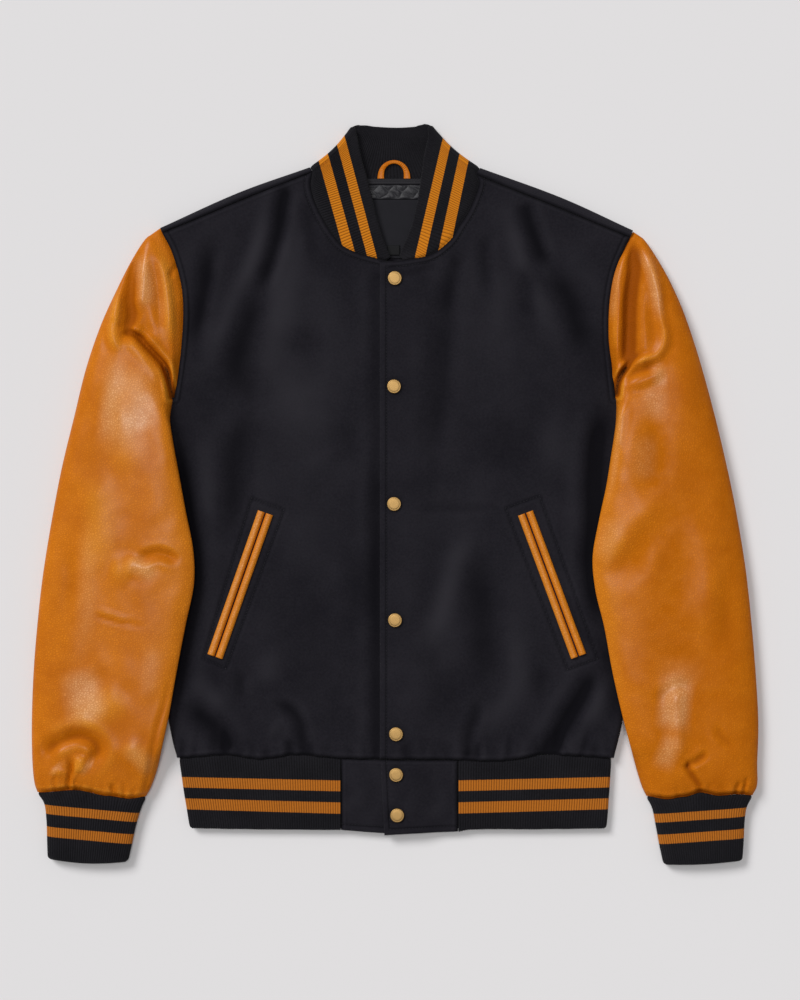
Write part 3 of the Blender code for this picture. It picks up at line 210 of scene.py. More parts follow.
def waves(seed, x, y, sizes, height):
    """The slight unevenness of cloth that nobody has pressed: a few long, wandering waves."""
    rng = np.random.default_rng(seed)
    total = np.zeros(np.shape(x))
    for size in sizes:
        angle, phase, wander, drift = rng.uniform(0, math.tau, 4)
        across = (x * math.cos(angle) + y * math.sin(angle)) * math.tau / size
        along = (y * math.cos(angle) - x * math.sin(angle)) * math.tau / (1.9 * size)
        swing = np.sin(across + phase + 1.3 * np.sin(along + wander))
        total += swing * (0.6 + 0.4 * np.sin(along * 0.7 + drift))
    return height * total / len(sizes)


def rounding(distance, radius):
    """How far a face drops towards an edge that is rounded with a radius."""
    inside = np.clip(radius - distance, 0, radius)
    return radius - np.sqrt(radius ** 2 - inside ** 2)


# %% [markdown]
# ## From grids of points to closed shells
#
# Real cloth has a thickness, and it shows at every edge. Solidify could give it, but the turned edges here
# are rounded and the inner face stays calmer than the outer one. So both skins are worked out as grids of
# points, and a rim joins them along every open edge.

# %% Skins
def lay(x, y, height, phi=180.0, out=(0.0, 0.0), depth=0.0):
    """Points of cloth laid double: phi 0 is the lower layer and 180 the upper one, and the fold between
    them goes round towards out. depth is measured from the outer face into the cloth."""
    radius, phi = height / 2, np.radians(phi)
    reach = (radius - depth) * np.sin(phi)
    return np.stack(np.broadcast_arrays(x + out[0] * reach, y + out[1] * reach,
                                        radius - (radius - depth) * np.cos(phi)), -1).astype(float)


def laid(wall, *place):
    """Both faces of cloth laid double, with a wall between them."""
    return lay(*place), lay(*place, depth=wall)


class Skin:
    """Grids of points joined into one open surface, with an outer and an inner face."""

    def __init__(self):
        self.outer, self.inner, self.faces, self.count = [], [], [], 0

    def add(self, outer, inner):
        """Takes a grid of points of both faces, and returns the grid of their numbers."""
        shape = outer.shape[:-1]
        numbers = np.arange(self.count, self.count + math.prod(shape)).reshape(shape)
        self.outer.append(outer.reshape(-1, 3))
        self.inner.append(inner.reshape(-1, 3))
        self.count += math.prod(shape)
        return numbers

    def join(self, numbers, turned=False):
        """Makes faces between the rows and columns of a grid of numbers."""
        quads = np.stack([numbers[:-1, :-1], numbers[:-1, 1:], numbers[1:, 1:], numbers[1:, :-1]], -1)
        quads = quads.reshape(-1, 4)
        self.faces.append(quads[:, ::-1] if turned else quads)

    def close(self):
        """Puts the grids together."""
        self.outer, self.inner, self.faces = map(np.concatenate, (self.outer, self.inner, self.faces))
        return self

    def normals(self):
        a, b, c, d = (self.outer[self.faces[:, k]] for k in range(4))
        facing = np.cross(c - a, d - b)
        total = np.zeros_like(self.outer)
        for k in range(4):
            np.add.at(total, self.faces[:, k], facing)
        return total / np.maximum(np.linalg.norm(total, axis=1, keepdims=True), 1e-9)

    def pull(self, relief, raw):
        """Draws the outer face in by a relief, and both faces by what rounds the raw edges."""
        out = self.normals()
        self.outer = self.outer - out * (relief + raw).reshape(-1, 1)
        self.inner = self.inner + out * raw.reshape(-1, 1)


def grid_skin(outer, inner, turned=False, ring=False):
    """The skin of one grid of points. In a ring, the last column meets the first."""
    skin = Skin()
    numbers = skin.add(outer, inner)
    skin.join(np.concatenate([numbers, numbers[:, :1]], 1) if ring else numbers, turned)
    return skin.close()


# %% Shells
CREASE_ANGLE = math.radians(48)


def in_scene(name, data):
    """A new object in the scene."""
    obj = bpy.data.objects.new(name, data)
    bpy.context.scene.collection.objects.link(obj)
    return obj


def in_metres(points):
    """Points of the flat map, as Blender takes them."""
    return ((points - np.array([0, LENGTH / 2, 0])) * MM).tolist()


def both(**fields):
    """Fields that are the same on both faces, given once."""
    return {key: (values.reshape(-1), values.reshape(-1)) for key, values in fields.items()}


def mesh_object(name, points, faces, finish, fields=None):
    """A named mesh from points in millimetres. fields are values for each point, kept as attributes."""
    mesh = bpy.data.meshes.new(name)
    mesh.from_pydata(in_metres(points), [], faces.tolist() if hasattr(faces, "tolist") else faces)
    for key, values in (fields or {}).items():
        mesh.attributes.new(key, "FLOAT", "POINT").data.foreach_set("value", np.asarray(values, np.float32))
    mesh.shade_smooth()
    mesh.set_sharp_from_angle(angle=CREASE_ANGLE)
    mesh.materials.append(finish)
    return in_scene(name, mesh)


def shell(name, skin, finish, fields=None):
    """Closes a skin into a wall: its outer face, its inner face and a rim along every open edge."""
    used = np.unique(skin.faces)
    number = np.zeros(len(skin.outer), int)
    number[used] = np.arange(len(used))
    faces, count = number[skin.faces], len(used)
    starts, ends = faces.reshape(-1), np.roll(faces, -1, axis=1).reshape(-1)
    lone = ~np.isin(starts * count + ends, ends * count + starts)
    a, b = starts[lone], ends[lone]
    rim = np.stack([b, a, a + count, b + count], -1)
    points = np.concatenate([skin.outer[used], skin.inner[used]])
    fields = {key: np.concatenate([outer[used], inner[used]])
              for key, (outer, inner) in (fields or {}).items()}
    return mesh_object(name, points, np.concatenate([faces, faces[:, ::-1] + count, rim]), finish, fields)


def measured(*pieces):
    """Prints how many triangles pieces have, and half of their surface, which is their cloth."""
    for obj in pieces:
        triangles = sum(len(face.vertices) - 2 for face in obj.data.polygons)
        area = sum(face.area for face in obj.data.polygons) / 2
        print(obj.name, triangles, "triangles,", round(area, 4), "square metres of cloth")


# %% [markdown]
# ## Finishes
#
# Shader maths is easier to read as a sum than as a web of nodes. A small class wraps one output of a node,
# and adding or multiplying two of them puts the Math node there. Everything else comes from one method
# that takes the node's type, its settings and what goes into its sockets.

# %% Wires
class Wire:
    """An output of a node tree that can be calculated with."""

    def __init__(self, graph, socket):
        self.graph, self.socket = graph, socket

    def __add__(self, other): return self.graph.sum("ADD", self, other)
    def __radd__(self, other): return self.graph.sum("ADD", other, self)
    def __sub__(self, other): return self.graph.sum("SUBTRACT", self, other)
    def __rsub__(self, other): return self.graph.sum("SUBTRACT", other, self)
    def __mul__(self, other): return self.graph.sum("MULTIPLY", self, other)
    def __rmul__(self, other): return self.graph.sum("MULTIPLY", other, self)
    def __pow__(self, other): return self.graph.sum("POWER", self, other)


class Graph:
    """A node tree under construction."""

    def __init__(self, tree):
        self.tree = tree

    def put(self, socket, value):
        """Links a wire into a socket, or sets the socket's own value."""
        if isinstance(value, Wire):
            self.tree.links.new(value.socket, socket)
        elif hasattr(value, "__len__") and len(socket.default_value) > len(value):
            socket.default_value = (*value, 1.0)
        else:
            socket.default_value = value

    def node(self, kind, settings=None, sockets=None, output=0):
        """Adds a node: first its settings, then the values or wires of its sockets."""
        known = kind.startswith(("GeometryNode", "FunctionNode"))
        node = self.tree.nodes.new(kind if known else "ShaderNode" + kind)
        for key, value in (settings or {}).items():
            setattr(node, key, value)
        for key, value in (sockets or {}).items():
            self.put(node.inputs[key], value)
        return Wire(self, node.outputs[output])

    def sum(self, operation, *values, clamp=False):
        return self.node("Math", {"operation": operation, "use_clamp": clamp}, dict(enumerate(values)))

    def steps(self, value, low, high):
        """A smooth step of a wire from 0 at low to 1 at high."""
        return self.node("MapRange", {"interpolation_type": "SMOOTHSTEP"},
                         {"Value": value, "From Min": low, "From Max": high})


# %% Materials
class Finish(Graph):
    """A material under construction."""

    def __init__(self, name, **shader):
        self.material = bpy.data.materials.new(name)
        self.material.use_nodes = True
        super().__init__(self.material.node_tree)
        self.shader = self.tree.nodes["Principled BSDF"]
        for key, value in shader.items():
            self.shader.inputs[key.replace("_", " ")].default_value = value

    def mix(self, share, first, second, kind="MIX"):
        """Mixes two colours."""
        return self.node("Mix", {"data_type": "RGBA", "blend_type": kind}, {0: share, 6: first, 7: second}, 2)

    def field(self, name):
        """A value that the mesh carries at each of its points."""
        return self.node("Attribute", {"attribute_name": name}, output="Fac")

    def layered(self, colour, *layers):
        """A colour under layers, each with its share and its colour."""
        for share, over in layers:
            colour = self.mix(share, colour, over)
        return colour

    def limited(self, value, factor=1.0):
        """A wire times a factor, kept between 0 and 1."""
        return self.sum("MULTIPLY", value, factor, clamp=True)

    def place(self):
        return self.node("TexCoord", output="Object")

    def noise(self, place, size, detail=2.0, roughness=0.5, distortion=0.0):
        """Soft noise, whose lumps have a size in metres."""
        return self.node("TexNoise", None, {"Vector": place, "Scale": 1 / size, "Detail": detail,
                                            "Roughness": roughness, "Distortion": distortion})

    def bump(self, height, distance, strength=1.0, under=None):
        """A Bump node over a height from 0 to 1, with the depth of the relief in metres."""
        sockets = {"Strength": strength, "Distance": distance, "Height": height}
        if under is not None:
            sockets["Normal"] = under
        return self.node("Bump", None, sockets)

    def wear(self, **inputs):
        """Connects wires to the shader's inputs, and hands the material over."""
        for key, value in inputs.items():
            self.put(self.shader.inputs[key.replace("_", " ")], value)
        return self.material


# %% [markdown]
# What repeats on a garment, its ribs and its stitches, is grown by Geometry Nodes: one tree, with named
# inputs, serves every piece. A recipe's modifier is evaluated once and leaves a plain mesh behind, so that
# nothing is left to change when the picture is taken.

# %% Recipes
SOCKETS = {float: "NodeSocketFloat", int: "NodeSocketInt"}


class Recipe(Graph):
    """A tree of Geometry Nodes with named inputs, from the geometry that goes in to what comes out."""

    def __init__(self, name, **given):
        super().__init__(bpy.data.node_groups.new(name, "GeometryNodeTree"))
        face = self.tree.interface
        face.new_socket("Geometry", in_out="INPUT", socket_type="NodeSocketGeometry")
        self.keys = {key: face.new_socket(key, in_out="INPUT", socket_type=SOCKETS[type(value)])
                     for key, value in given.items()}
        for key, value in given.items():
            self.keys[key].default_value = value
        face.new_socket("Geometry", in_out="OUTPUT", socket_type="NodeSocketGeometry")
        self.entry = self.tree.nodes.new("NodeGroupInput")

    def given(self, key):
        return Wire(self, self.entry.outputs[key])

    def done(self, geometry, finish):
        """Ends the tree: real instances, with their material."""
        real = self.node("GeometryNodeRealizeInstances", None, {0: geometry})
        painted = self.node("GeometryNodeSetMaterial", None, {"Geometry": real, "Material": finish})
        leave = self.tree.nodes.new("NodeGroupOutput")
        self.tree.links.new(painted.socket, leave.inputs["Geometry"])

    def grow(self, obj, **values):
        """Runs the tree on an object, whose mesh becomes what comes out."""
        modifier = obj.modifiers.new("recipe", "NODES")
        modifier.node_group = self.tree
        for key, value in values.items():
            modifier[self.keys[key].identifier] = value
        evaluated = obj.evaluated_get(bpy.context.evaluated_depsgraph_get())
        mesh = bpy.data.meshes.new_from_object(evaluated)
        obj.modifiers.clear()
        mesh.name = obj.name
        obj.data = mesh
        mesh.shade_smooth()
        mesh.set_sharp_from_angle(angle=CREASE_ANGLE)
        return obj


# %% [markdown]
# ## Melton wool
#
# Melton is woven, then felted until the weave disappears: what is left is a short, dense nap that swallows
# light. A plain dark colour would look like plastic. The nap is a fine noise in the bump, a coarser one
# makes the cloth look brushed in patches, and a little sheen lights the fibres where the cloth turns away.

# %% Wool
def wool_finish():
    wool = Finish("wool", Roughness=0.95, Sheen_Weight=0.06, Sheen_Roughness=0.45, Specular_IOR_Level=0.05)
    place, press = wool.place(), wool.field("press")
    patches, nap = wool.noise(place, 0.055, 3.0, 0.6), wool.noise(place, 0.0024, 3.0, 0.7)
    fibres = wool.noise(place, 0.00075, 2.0, 0.7)
    tone = wool.steps(patches * 0.5 + nap * 0.5, 0.28, 0.72)
    colour = wool.layered(
        wool.mix(tone, (0.0098, 0.0090, 0.0124), (0.0186, 0.0172, 0.0220)),
        (wool.limited(press, -1.15) * 0.62, (0.0330, 0.0310, 0.0375)),      # painted light on a ridge
        (wool.limited(press, 0.90) * 0.80, (0.0024, 0.0022, 0.0036)),       # painted shade in a crease
        (wool.steps(fibres, 0.60, 0.86) * 0.16, (0.030, 0.029, 0.036)))     # lint
    normal = wool.bump(nap * 0.6 + fibres * 0.4, 0.00035, 0.55)
    return wool.wear(Base_Color=colour, Normal=normal, Roughness=0.88 + 0.10 * nap)


WOOL_FINISH = wool_finish()

# %% [markdown]
# ## Pebbled leather
#
# Cowhide that is tumbled in the drum gets a pebbled grain: small round cells with creases between them.
# Smooth Voronoi cells of two sizes make it, warped a little so that no row lines up. The dye is uneven by
# a few shades, painted shade darkens it where a fold presses the hide and painted light pales it where
# it is stretched over a ridge, and a thin coat of finish gives a soft gloss, with painted highlights
# where the hide is polished.

# %% Leather
PEBBLE, SMALL_PEBBLE, WARP = 0.0023, 0.0012, 0.0016     # sizes in metres


def leather_finish():
    leather = Finish("leather", Specular_IOR_Level=0.04, Coat_Roughness=0.30, Coat_IOR=1.5)
    place, press = leather.place(), leather.field("press")
    warp = leather.node("TexNoise", None, {"Vector": place, "Scale": 260.0, "Detail": 2.0}, "Color")
    bent = leather.node("VectorMath", {"operation": "MULTIPLY_ADD"}, {0: warp, 1: (WARP,) * 3, 2: place})
    cells = leather.node("TexVoronoi", {"feature": "DISTANCE_TO_EDGE"}, {"Vector": bent, "Scale": 1 / PEBBLE})
    small = leather.node("TexVoronoi", {"feature": "SMOOTH_F1"},
                         {"Vector": bent, "Scale": 1 / SMALL_PEBBLE, "Smoothness": 0.6})
    pebble = leather.steps(cells, 0.0, 0.34)
    shades, clouds = leather.noise(place, 0.075, 4.0, 0.62, 0.4), leather.noise(place, 0.018, 3.0, 0.6)
    # where the hide is polished: a glossier coat and a painted highlight
    shine = leather.limited(leather.field("shine"), 0.70 + 0.30 * pebble + 0.9 * (clouds - 0.5))
    tone = leather.steps(shades * 0.62 + clouds * 0.38, 0.28, 0.72)
    colour = leather.layered(
        leather.mix(tone, (0.540, 0.141, 0.0026), (0.680, 0.199, 0.0048)),
        (leather.limited(press) * 0.45, (0.380, 0.088, 0.0012)),            # painted shade in a fold
        (leather.steps(press, 0.45, 1.20) * 0.75, (0.190, 0.034, 0.0008)),  # deeper painted shade in it
        (leather.steps(press, 2.2, 3.6) * 0.90, (0.022, 0.007, 0.003)),     # painted shade where no light gets in
        (leather.limited(press, -2.2) * 0.70, (0.820, 0.310, 0.022)),       # painted light over a ridge
        (shine * 0.60, (0.830, 0.450, 0.190)),                              # painted highlight where polished
        ((1 - pebble) * 0.36, (0.330, 0.078, 0.002)))                       # between the pebbles
    normal = leather.bump(pebble * 0.8 + small * 0.2, 0.00055, 0.50)
    normal = leather.bump(leather.noise(place, 0.0075, 2.0, 0.5, 0.6), 0.0010, 0.30, normal)
    normal = leather.bump(clouds, 0.0018, 0.32, normal)
    rough = 0.50 + 0.12 * (1 - pebble) + 0.08 * clouds - 0.10 * shine
    coat = 0.12 + 0.22 * clouds - 0.30 * leather.limited(press, 1.4) + 0.50 * shine
    return leather.wear(Base_Color=colour, Normal=normal, Roughness=rough, Coat_Weight=coat)


LEATHER_FINISH = leather_finish()

# %% [markdown]
# ## The fronts
#
# Each front is one piece of melton, cut round the neck and the armhole, that turns down at the side to a
# seam on the fold. A Coons patch spans it between its borders, as a tailor's pattern does. The lines of
# points lie close together along every edge, at fixed distances from it, because that is where the cloth
# is rounded, pulled in by its seam and dented by its row of topstitching.

# %% Lines of the body
NECK_LEAN, NECK_SHARE = 0.17, 0.125         # how the shoulder's fold leans over to meet the collar's


def side_line(side, shares, distance):
    """The body's side, from the hem to the underarm, at a distance inside its silhouette."""
    points = curve(SIDE[side], shares)
    points[..., 0] -= distance * OUTWARD[side]
    return points


def shoulder_out(side, shares):
    """The direction in which the shoulder's fold turns."""
    (x0, y0), (x1, y1) = SHOULDER[side][0], SHOULDER[side][-1]
    out = np.array([y0 - y1, x1 - x0]) / math.hypot(x1 - x0, y1 - y0)
    out = out if out[1] > 0 else -out
    lean = NECK_LEAN * (1 - ease(np.asarray(shares, float) / NECK_SHARE)) * OUTWARD[side]
    result = np.stack(np.broadcast_arrays(out[0] + lean, out[1]), -1)
    return result / np.linalg.norm(result, axis=-1, keepdims=True)


def shoulder_line(side, shares, distance):
    """Points at distances inside the shoulder's fold, from the neck to the armhole."""
    return curve(SHOULDER[side], shares) - shoulder_out(side, shares) * np.asarray(distance)[..., None]


def shoulder_rows(side, shift):
    """The forward shoulder seam from neck to armhole, with a shift towards the front."""
    forward, more = SHOULDER_SEAM[side]
    t = np.linspace(0, 1, 7)
    return shoulder_line(side, t, forward + more * np.sin(math.pi * t) + shift)


def neckline_rows(side):
    return [*NECKLINE[side][:-1], tuple(shoulder_rows(side, GAP / 2)[0])]


def hem_rows(side):
    return [*HEM[side][:-1], tuple(side_line(side, 0.0, LAID / 2))]


def armhole_rows(side):
    return [tuple(side_line(side, 1.0, LAID / 2)), *reversed(ARMHOLE[side][1:-1]),
            tuple(shoulder_rows(side, GAP / 2)[-1])]


FINE = np.linspace(0, 1, 90)
EDGES = {(side, name): curve(rows(side), FINE) for side in SIDES
         for name, rows in (("neck", neckline_rows), ("hem", hem_rows), ("armhole", armhole_rows))}
EDGES.update({(side, "shoulder"): curve(shoulder_rows(side, GAP / 2), FINE) for side in SIDES})
EDGES.update({(side, "opening"): np.array([hem_rows(side)[0], neckline_rows(side)[0]]) for side in SIDES})
print("necklines", [round(length_of(EDGES[side, "neck"])) for side in SIDES],
      "armholes", [round(length_of(EDGES[side, "armhole"])) for side in SIDES], "mm")

# %% [markdown]
# The body's creases run where the jacket was picked up and put down: down from the shoulders, in from
# the pockets, and up from the gathered waistband, where the wool has more width than the rib below it.
# Short puckers along the hem come from that gathering, so they are drawn from a seeded list, each with
# its own length, depth and lean.

# %% Creases of the body
BODY_CREASES = {
    "right": [
        (4.6, (5, 6.5), (0.12, 0.25), [(-113, 722), (-118.5, 700), (-123, 672), (-130, 645), (-139, 620),
            (-147, 598)]),
        (3.6, (12, 13), (0.35, 0.35), [(-139, 628), (-150, 596), (-158, 565), (-165, 535), (-171, 508),
            (-180, 478)]),
        (-2.1, (9, 7), (0.3, 0.3), [(-134, 700), (-143, 665), (-158, 622), (-176, 580), (-192, 546),
            (-207, 518)]),
        (-1.7, (14, 15), (0.35, 0.35), [(-110, 690), (-112, 640), (-117, 600), (-122, 552)]),
        (3.5, (5, 8), (0.35, 0.3), [(-191, 674), (-197, 640), (-200, 616), (-205, 590), (-211, 562),
            (-217, 540)]),
        (1.2, (5, 5), (0.3, 0.35), [(-97, 714), (-93.5, 690), (-89.5, 664), (-88, 632)]),
        (-0.9, (10, 9), (0.35, 0.35), [(-78, 640), (-74, 590), (-66, 545)]),
        (1.5, (14, 12), (0.4, 0.4), [(-112, 532), (-96, 550), (-84, 572)]),
        (1.6, (14, 12), (0.4, 0.4), [(-152, 530), (-148, 505), (-152, 478)]),
        (2.6, (11, 9), (0.3, 0.35), [(-142, 492), (-160, 462), (-171, 430), (-170, 398), (-177, 366),
            (-184, 330)]),
        (-1.2, (22, 20), (0.4, 0.4), [(-96, 528), (-95, 492), (-100, 448)]),
        (-1.1, (10, 9), (0.4, 0.4), [(-205, 500), (-208, 450), (-201, 392), (-198, 340)]),
        (1.1, (9, 12), (0.4, 0.4), [(-42, 470), (-50, 446), (-46, 420)]),
        (1.6, (6, 5), (0.06, 0.1), [(-20.5, 634), (-21, 560), (-21, 470), (-20.5, 390)]),
        (2.7, (9, 6), (0.1, 0), [(-21, 420), (-20.5, 330), (-20, 230), (-20, 116)]),
        (1.5, (13, 12), (0.4, 0.4), [(-36, 346), (-35, 300), (-33, 246)]),
        (-0.9, (20, 22), (0.4, 0.4), [(-78, 400), (-88, 340), (-84, 280)]),
        (3.4, (9, 9), (0.25, 0.2), [(-233, 480), (-227, 430), (-220, 380), (-214, 322), (-218, 270),
            (-227, 222), (-236, 178), (-242, 140)]),
        (-1.5, (8, 9), (0.35, 0.35), [(-219, 204), (-199, 184), (-178, 160)]),
        (3.6, (8, 9), (0.35, 0.1), [(-222, 178), (-206, 158), (-190, 144), (-175, 118)]),
        (-1.5, (10, 11), (0.4, 0.4), [(-137, 232), (-134, 208), (-132, 184)]),
        (1.9, (4, 5), (0.4, 0.4), [(-166, 212), (-164.5, 190), (-160, 168)]),
        (3, (4, 6), (0.35, 0), [(-134, 163), (-121, 169), (-108, 161), (-100, 147), (-97, 118)]),
        (3, (3.4, 3.4), (0.5, 0), [(-113, 136), (-112, 118)]),
        (-1, (9, 9), (0.4, 0.4), [(-133, 150), (-120, 143)]),
        (1.4, (3, 3), (0.4, 0), [(-180, 150), (-180, 118)]),
        (1.5, (2.5, 3), (0.5, 0), [(-90, 134), (-89, 116)]),
    ],
    "left": [
        (3.6, (5, 8), (0.12, 0.3), [(136, 702), (141, 682), (148, 660), (156, 642), (166, 626)]),
        (3.4, (11, 9), (0.35, 0.3), [(160, 640), (172, 616), (184, 596), (190, 574), (197, 553),
            (205, 532)]),
        (2.4, (4.5, 7), (0.25, 0.4), [(67.5, 652), (63, 632), (58, 608), (53, 575)]),
        (1.9, (7, 24), (0.3, 0.3), [(54, 628), (52, 570), (49, 510), (41, 462), (28, 418)]),
        (-1.3, (11, 13), (0.3, 0.3), [(33, 618), (31, 560), (27, 500), (18, 440)]),
        (2, (5, 5), (0.25, 0.4), [(94, 670), (93.5, 642), (95, 612), (95, 590)]),
        (-1.5, (7, 8), (0.35, 0.35), [(121, 686), (128, 664), (132, 640), (134, 616)]),
        (1.2, (5, 6), (0.3, 0.4), [(131, 634), (138, 606), (142, 582), (149, 556)]),
        (-0.9, (8, 8), (0.4, 0.4), [(112, 640), (110, 590), (106, 540)]),
        (-1, (8, 9), (0.4, 0.4), [(146, 616), (155, 586), (164, 552)]),
        (1, (2.4, 3.2), (0.1, 0.3), [(4, 623.5), (23, 627), (43, 634.5)]),
        (1.4, (18, 20), (0.4, 0.4), [(110, 494), (118, 452), (108, 408)]),
        (-0.9, (12, 10), (0.4, 0.4), [(160, 480), (166, 446), (170, 410)]),
        (4.4, (9, 8), (0.2, 0.2), [(223, 496), (217, 470), (212, 444), (209, 404), (209, 362), (206, 322),
            (210, 284), (219, 240)]),
        (2.4, (7, 8), (0.3, 0.3), [(215, 250), (226, 214), (234, 180), (240, 146)]),
        (-2.1, (8, 9), (0.25, 0.3), [(84, 360), (74, 342), (65, 318), (57, 292), (49, 266), (38, 240),
            (32, 216)]),
        (2.6, (13, 13), (0.35, 0.35), [(93, 350), (89, 306), (91, 258), (90, 208), (80, 172)]),
        (-1.7, (10, 9), (0.35, 0.3), [(131, 264), (128, 222), (127, 192), (112, 164), (98, 146), (87, 132)]),
        (2.5, (4, 5), (0.35, 0), [(88, 180), (84.5, 158), (78.5, 142), (75, 118)]),
        (2, (2.6, 2.6), (0.5, 0), [(86.5, 132), (87.5, 116)]),
        (4.9, (7, 8), (0.3, 0), [(214, 218), (206.5, 199), (199, 180), (186, 160), (176, 144), (166, 130),
            (157, 114)]),
        (2.6, (3, 3), (0.4, 0), [(176, 146), (171.5, 118)]),
        (-1.3, (9, 9), (0.4, 0.4), [(218, 196), (208, 168), (200, 140)]),
        (1.3, (5, 5), (0.3, 0.3), [(177, 300), (189, 262), (206, 226)]),
        (1.3, (7, 7), (0.4, 0.4), [(158, 216), (153, 190), (150, 168)]),
        (0.9, (4, 3), (0.3, 0.3), [(8.9, 376.3), (62.9, 375.5), (116, 376.9)]),
        (1.2, (16, 14), (0.4, 0.4), [(46, 210), (50, 176), (48, 136)]),
    ],
}


def puckers(seed, path, count, depths, reaches, widths, inward=1):
    """Short creases that leave a seam at uneven spacing, each fading away from it."""
    rng = np.random.default_rng(seed)
    shares = (np.arange(count) + rng.uniform(0.15, 0.85, count)) / count
    rows = []
    for share in shares:
        here, there = curve(path, np.array([share, min(share + 0.004, 1.0)]))
        along = (there - here) / max(np.linalg.norm(there - here), 1e-9)
        away = np.array([-along[1], along[0]]) * inward
        depth, reach, width = (rng.uniform(*pair) for pair in (depths, reaches, widths))
        lean = along * rng.uniform(-0.35, 0.35) * reach
        bend = along * rng.uniform(-0.10, 0.10) * reach
        rows.append((depth, (width, width * rng.uniform(0.8, 1.4)), (0.0, 0.75),
                     [tuple(here), tuple(here + away * reach * 0.5 + lean * 0.4 + bend),
                      tuple(here + away * reach + lean)]))
    return rows


FOLD_SOFTNESS, FOLD_DEPTH = 1.3, 0.55       # how much wider and how much shallower than drawn they lie
# Broad patches of painted light, and of painted shade where the first number is below 0. Rows: strength,
# middle, half width and half height.
PAINTED_LIGHT_PATCHES = {
    "right": [(1, (-128, 560), (34, 90)), (0.5, (-88, 470), (40, 90)), (-0.6, (-216, 420), (22, 150)),
              (-0.5, (-92, 250), (40, 70))],
    "left": [(0.55, (112, 560), (40, 90)), (0.35, (48, 250), (22, 60)), (-0.6, (214, 420), (22, 150))],
}
HEM_GATHERS = {"right": 17, "left": 18}
HEM_PUCKERS = {side: puckers(10 + TWIN[side], HEM[side], HEM_GATHERS[side], (0.5, 2.1), (9, 34), (2.6, 5.5),
                             OUTWARD[side]) for side in SIDES}


def folds(side, x, y):
    """How deep the soft folds and the puckers of a front are."""
    return pressed(BODY_CREASES[side], x, y, FOLD_SOFTNESS) + pressed(HEM_PUCKERS[side], x, y)


def body_height(side, x, y):
    """Height of a front's outer face where it doesn't lap."""
    return LAID - FOLD_DEPTH * folds(side, x, y) + waves(20 + TWIN[side], x, y, (38, 57, 83, 120), 0.55)


def painted_fold_shading(side, x, y):
    """Painted shading of the nap: up to 1 of painted shade in a crease, and below 0 of painted light on a
    ridge and in the broad patches.
    """
    return folds(side, x, y) / 3.4 - 0.42 * spots(PAINTED_LIGHT_PATCHES[side], x, y)


def lapped(x):
    """1 where the left edge lies on the right one, and 0 beside it."""
    return 1 - ease((x - OVERLAP_X - 3) / LAP_RAMP)


def front_height(side, x, y):
    """Height of a front's outer face, the left one over the right one."""
    height = body_height(side, x, y)
    return height + (WOOL + LAP_AIR) * lapped(x) if side == "left" else height


# %% The patch between four borders
CORNER = 14 / 22            # share of the way up where the opening meets the neckline
NEAR = np.array([0.0, 0.25, 0.7, 1.4, 2.6, 4.0, 5.1, 5.7, 6.3, 6.9, 7.6, 9.0])     # lines along the edges


def coons(bottom, top, start, end, u, v):
    """Points between four smooth borders, u along bottom and top, v along start and end."""
    s, t = u[..., None], v[..., None]
    b0, b1, t0, t1 = bottom(0.0), bottom(1.0), top(0.0), top(1.0)
    return ((1 - t) * bottom(u) + t * top(u) + (1 - s) * start(v) + s * end(v)
            - (1 - s) * (1 - t) * b0 - s * (1 - t) * b1 - (1 - s) * t * t0 - s * t * t1)


def two_part(lower, upper, corner):
    """A border that turns a corner: one curve below a share and another above it."""
    def at(shares):
        shares = np.asarray(shares, float)
        low = lower(np.minimum(shares / corner, 1))
        high = upper(np.maximum((shares - corner) / (1 - corner), 0))
        return np.where((shares <= corner)[..., None], low, high)
    return at


def spread(near_low, near_high, count):
    """Shares with lines close to both ends and even steps in between."""
    low, high = near_low[..., -1:], 1 - near_high[..., -1:]
    inner = low + (high - low) * np.linspace(0, 1, count + 2)[1:-1]
    return np.concatenate([near_low, inner, 1 - near_high[..., ::-1]], -1)


# %% One front
FRONT_CELLS = (92, 190, 60)      # across, up the opening, along the neckline
ROUND_WOOL = 1.1            # radius of a wool edge
FRONT_WIDTH = 215                # about, for the first guess of where the lines lie
STITCHED = 6.2                   # from an edge to its topstitching
POCKET_BOX = {              # corners of the stitched boxes round the pockets
    "right": [(-152, 387.5), (-117.9, 374.8), (-179.3, 207.3), (-203.1, 218.5)],
    "left": [(116.2, 376.9), (152, 389.7), (213.1, 217.9), (181.6, 206.3)],
}
SNAPS = [(-0.9, 619.4), (-1.7, 505.2), (-1.7, 381.2), (-0.7, 258.6), (0.4, 138.4), (0.5, 95.3), (1.6, 52.6)]
SNAP_RADIUS = 7.5


def edge_relief(distance, stitched=None):
    """How a seam pulls the outer face in, and how its topstitching dents it."""
    drop = 1.0 * np.exp(-(distance / 2.2) ** 2) - 0.5 * np.exp(-((distance - 3.7) / 1.5) ** 2)
    if stitched is not None:
        drop += 0.75 * np.exp(-((stitched - STITCHED) / 1.0) ** 2)
    return drop


def painted_dent_shading(relief):
    """How much painted shade a relief puts on the nap: more in a dent than painted light on a swelling."""
    return np.where(relief > 0, 0.9, 0.25) * relief


def groove(distance, depth):
    """A line of stitches away from an edge, with the cloth swelling on both sides of it."""
    return depth * (np.exp(-(distance / 1.7) ** 2) - 0.45 * np.exp(-((distance - 3.6) / 1.7) ** 2))


def around_snaps(x, y):
    """The dent that every cap has pressed into the cloth around itself."""
    nearest = np.minimum.reduce([np.hypot(x - at_x, y - at_y) for at_x, at_y in SNAPS])
    return np.exp(-(nearest / (1.25 * SNAP_RADIUS)) ** 4)


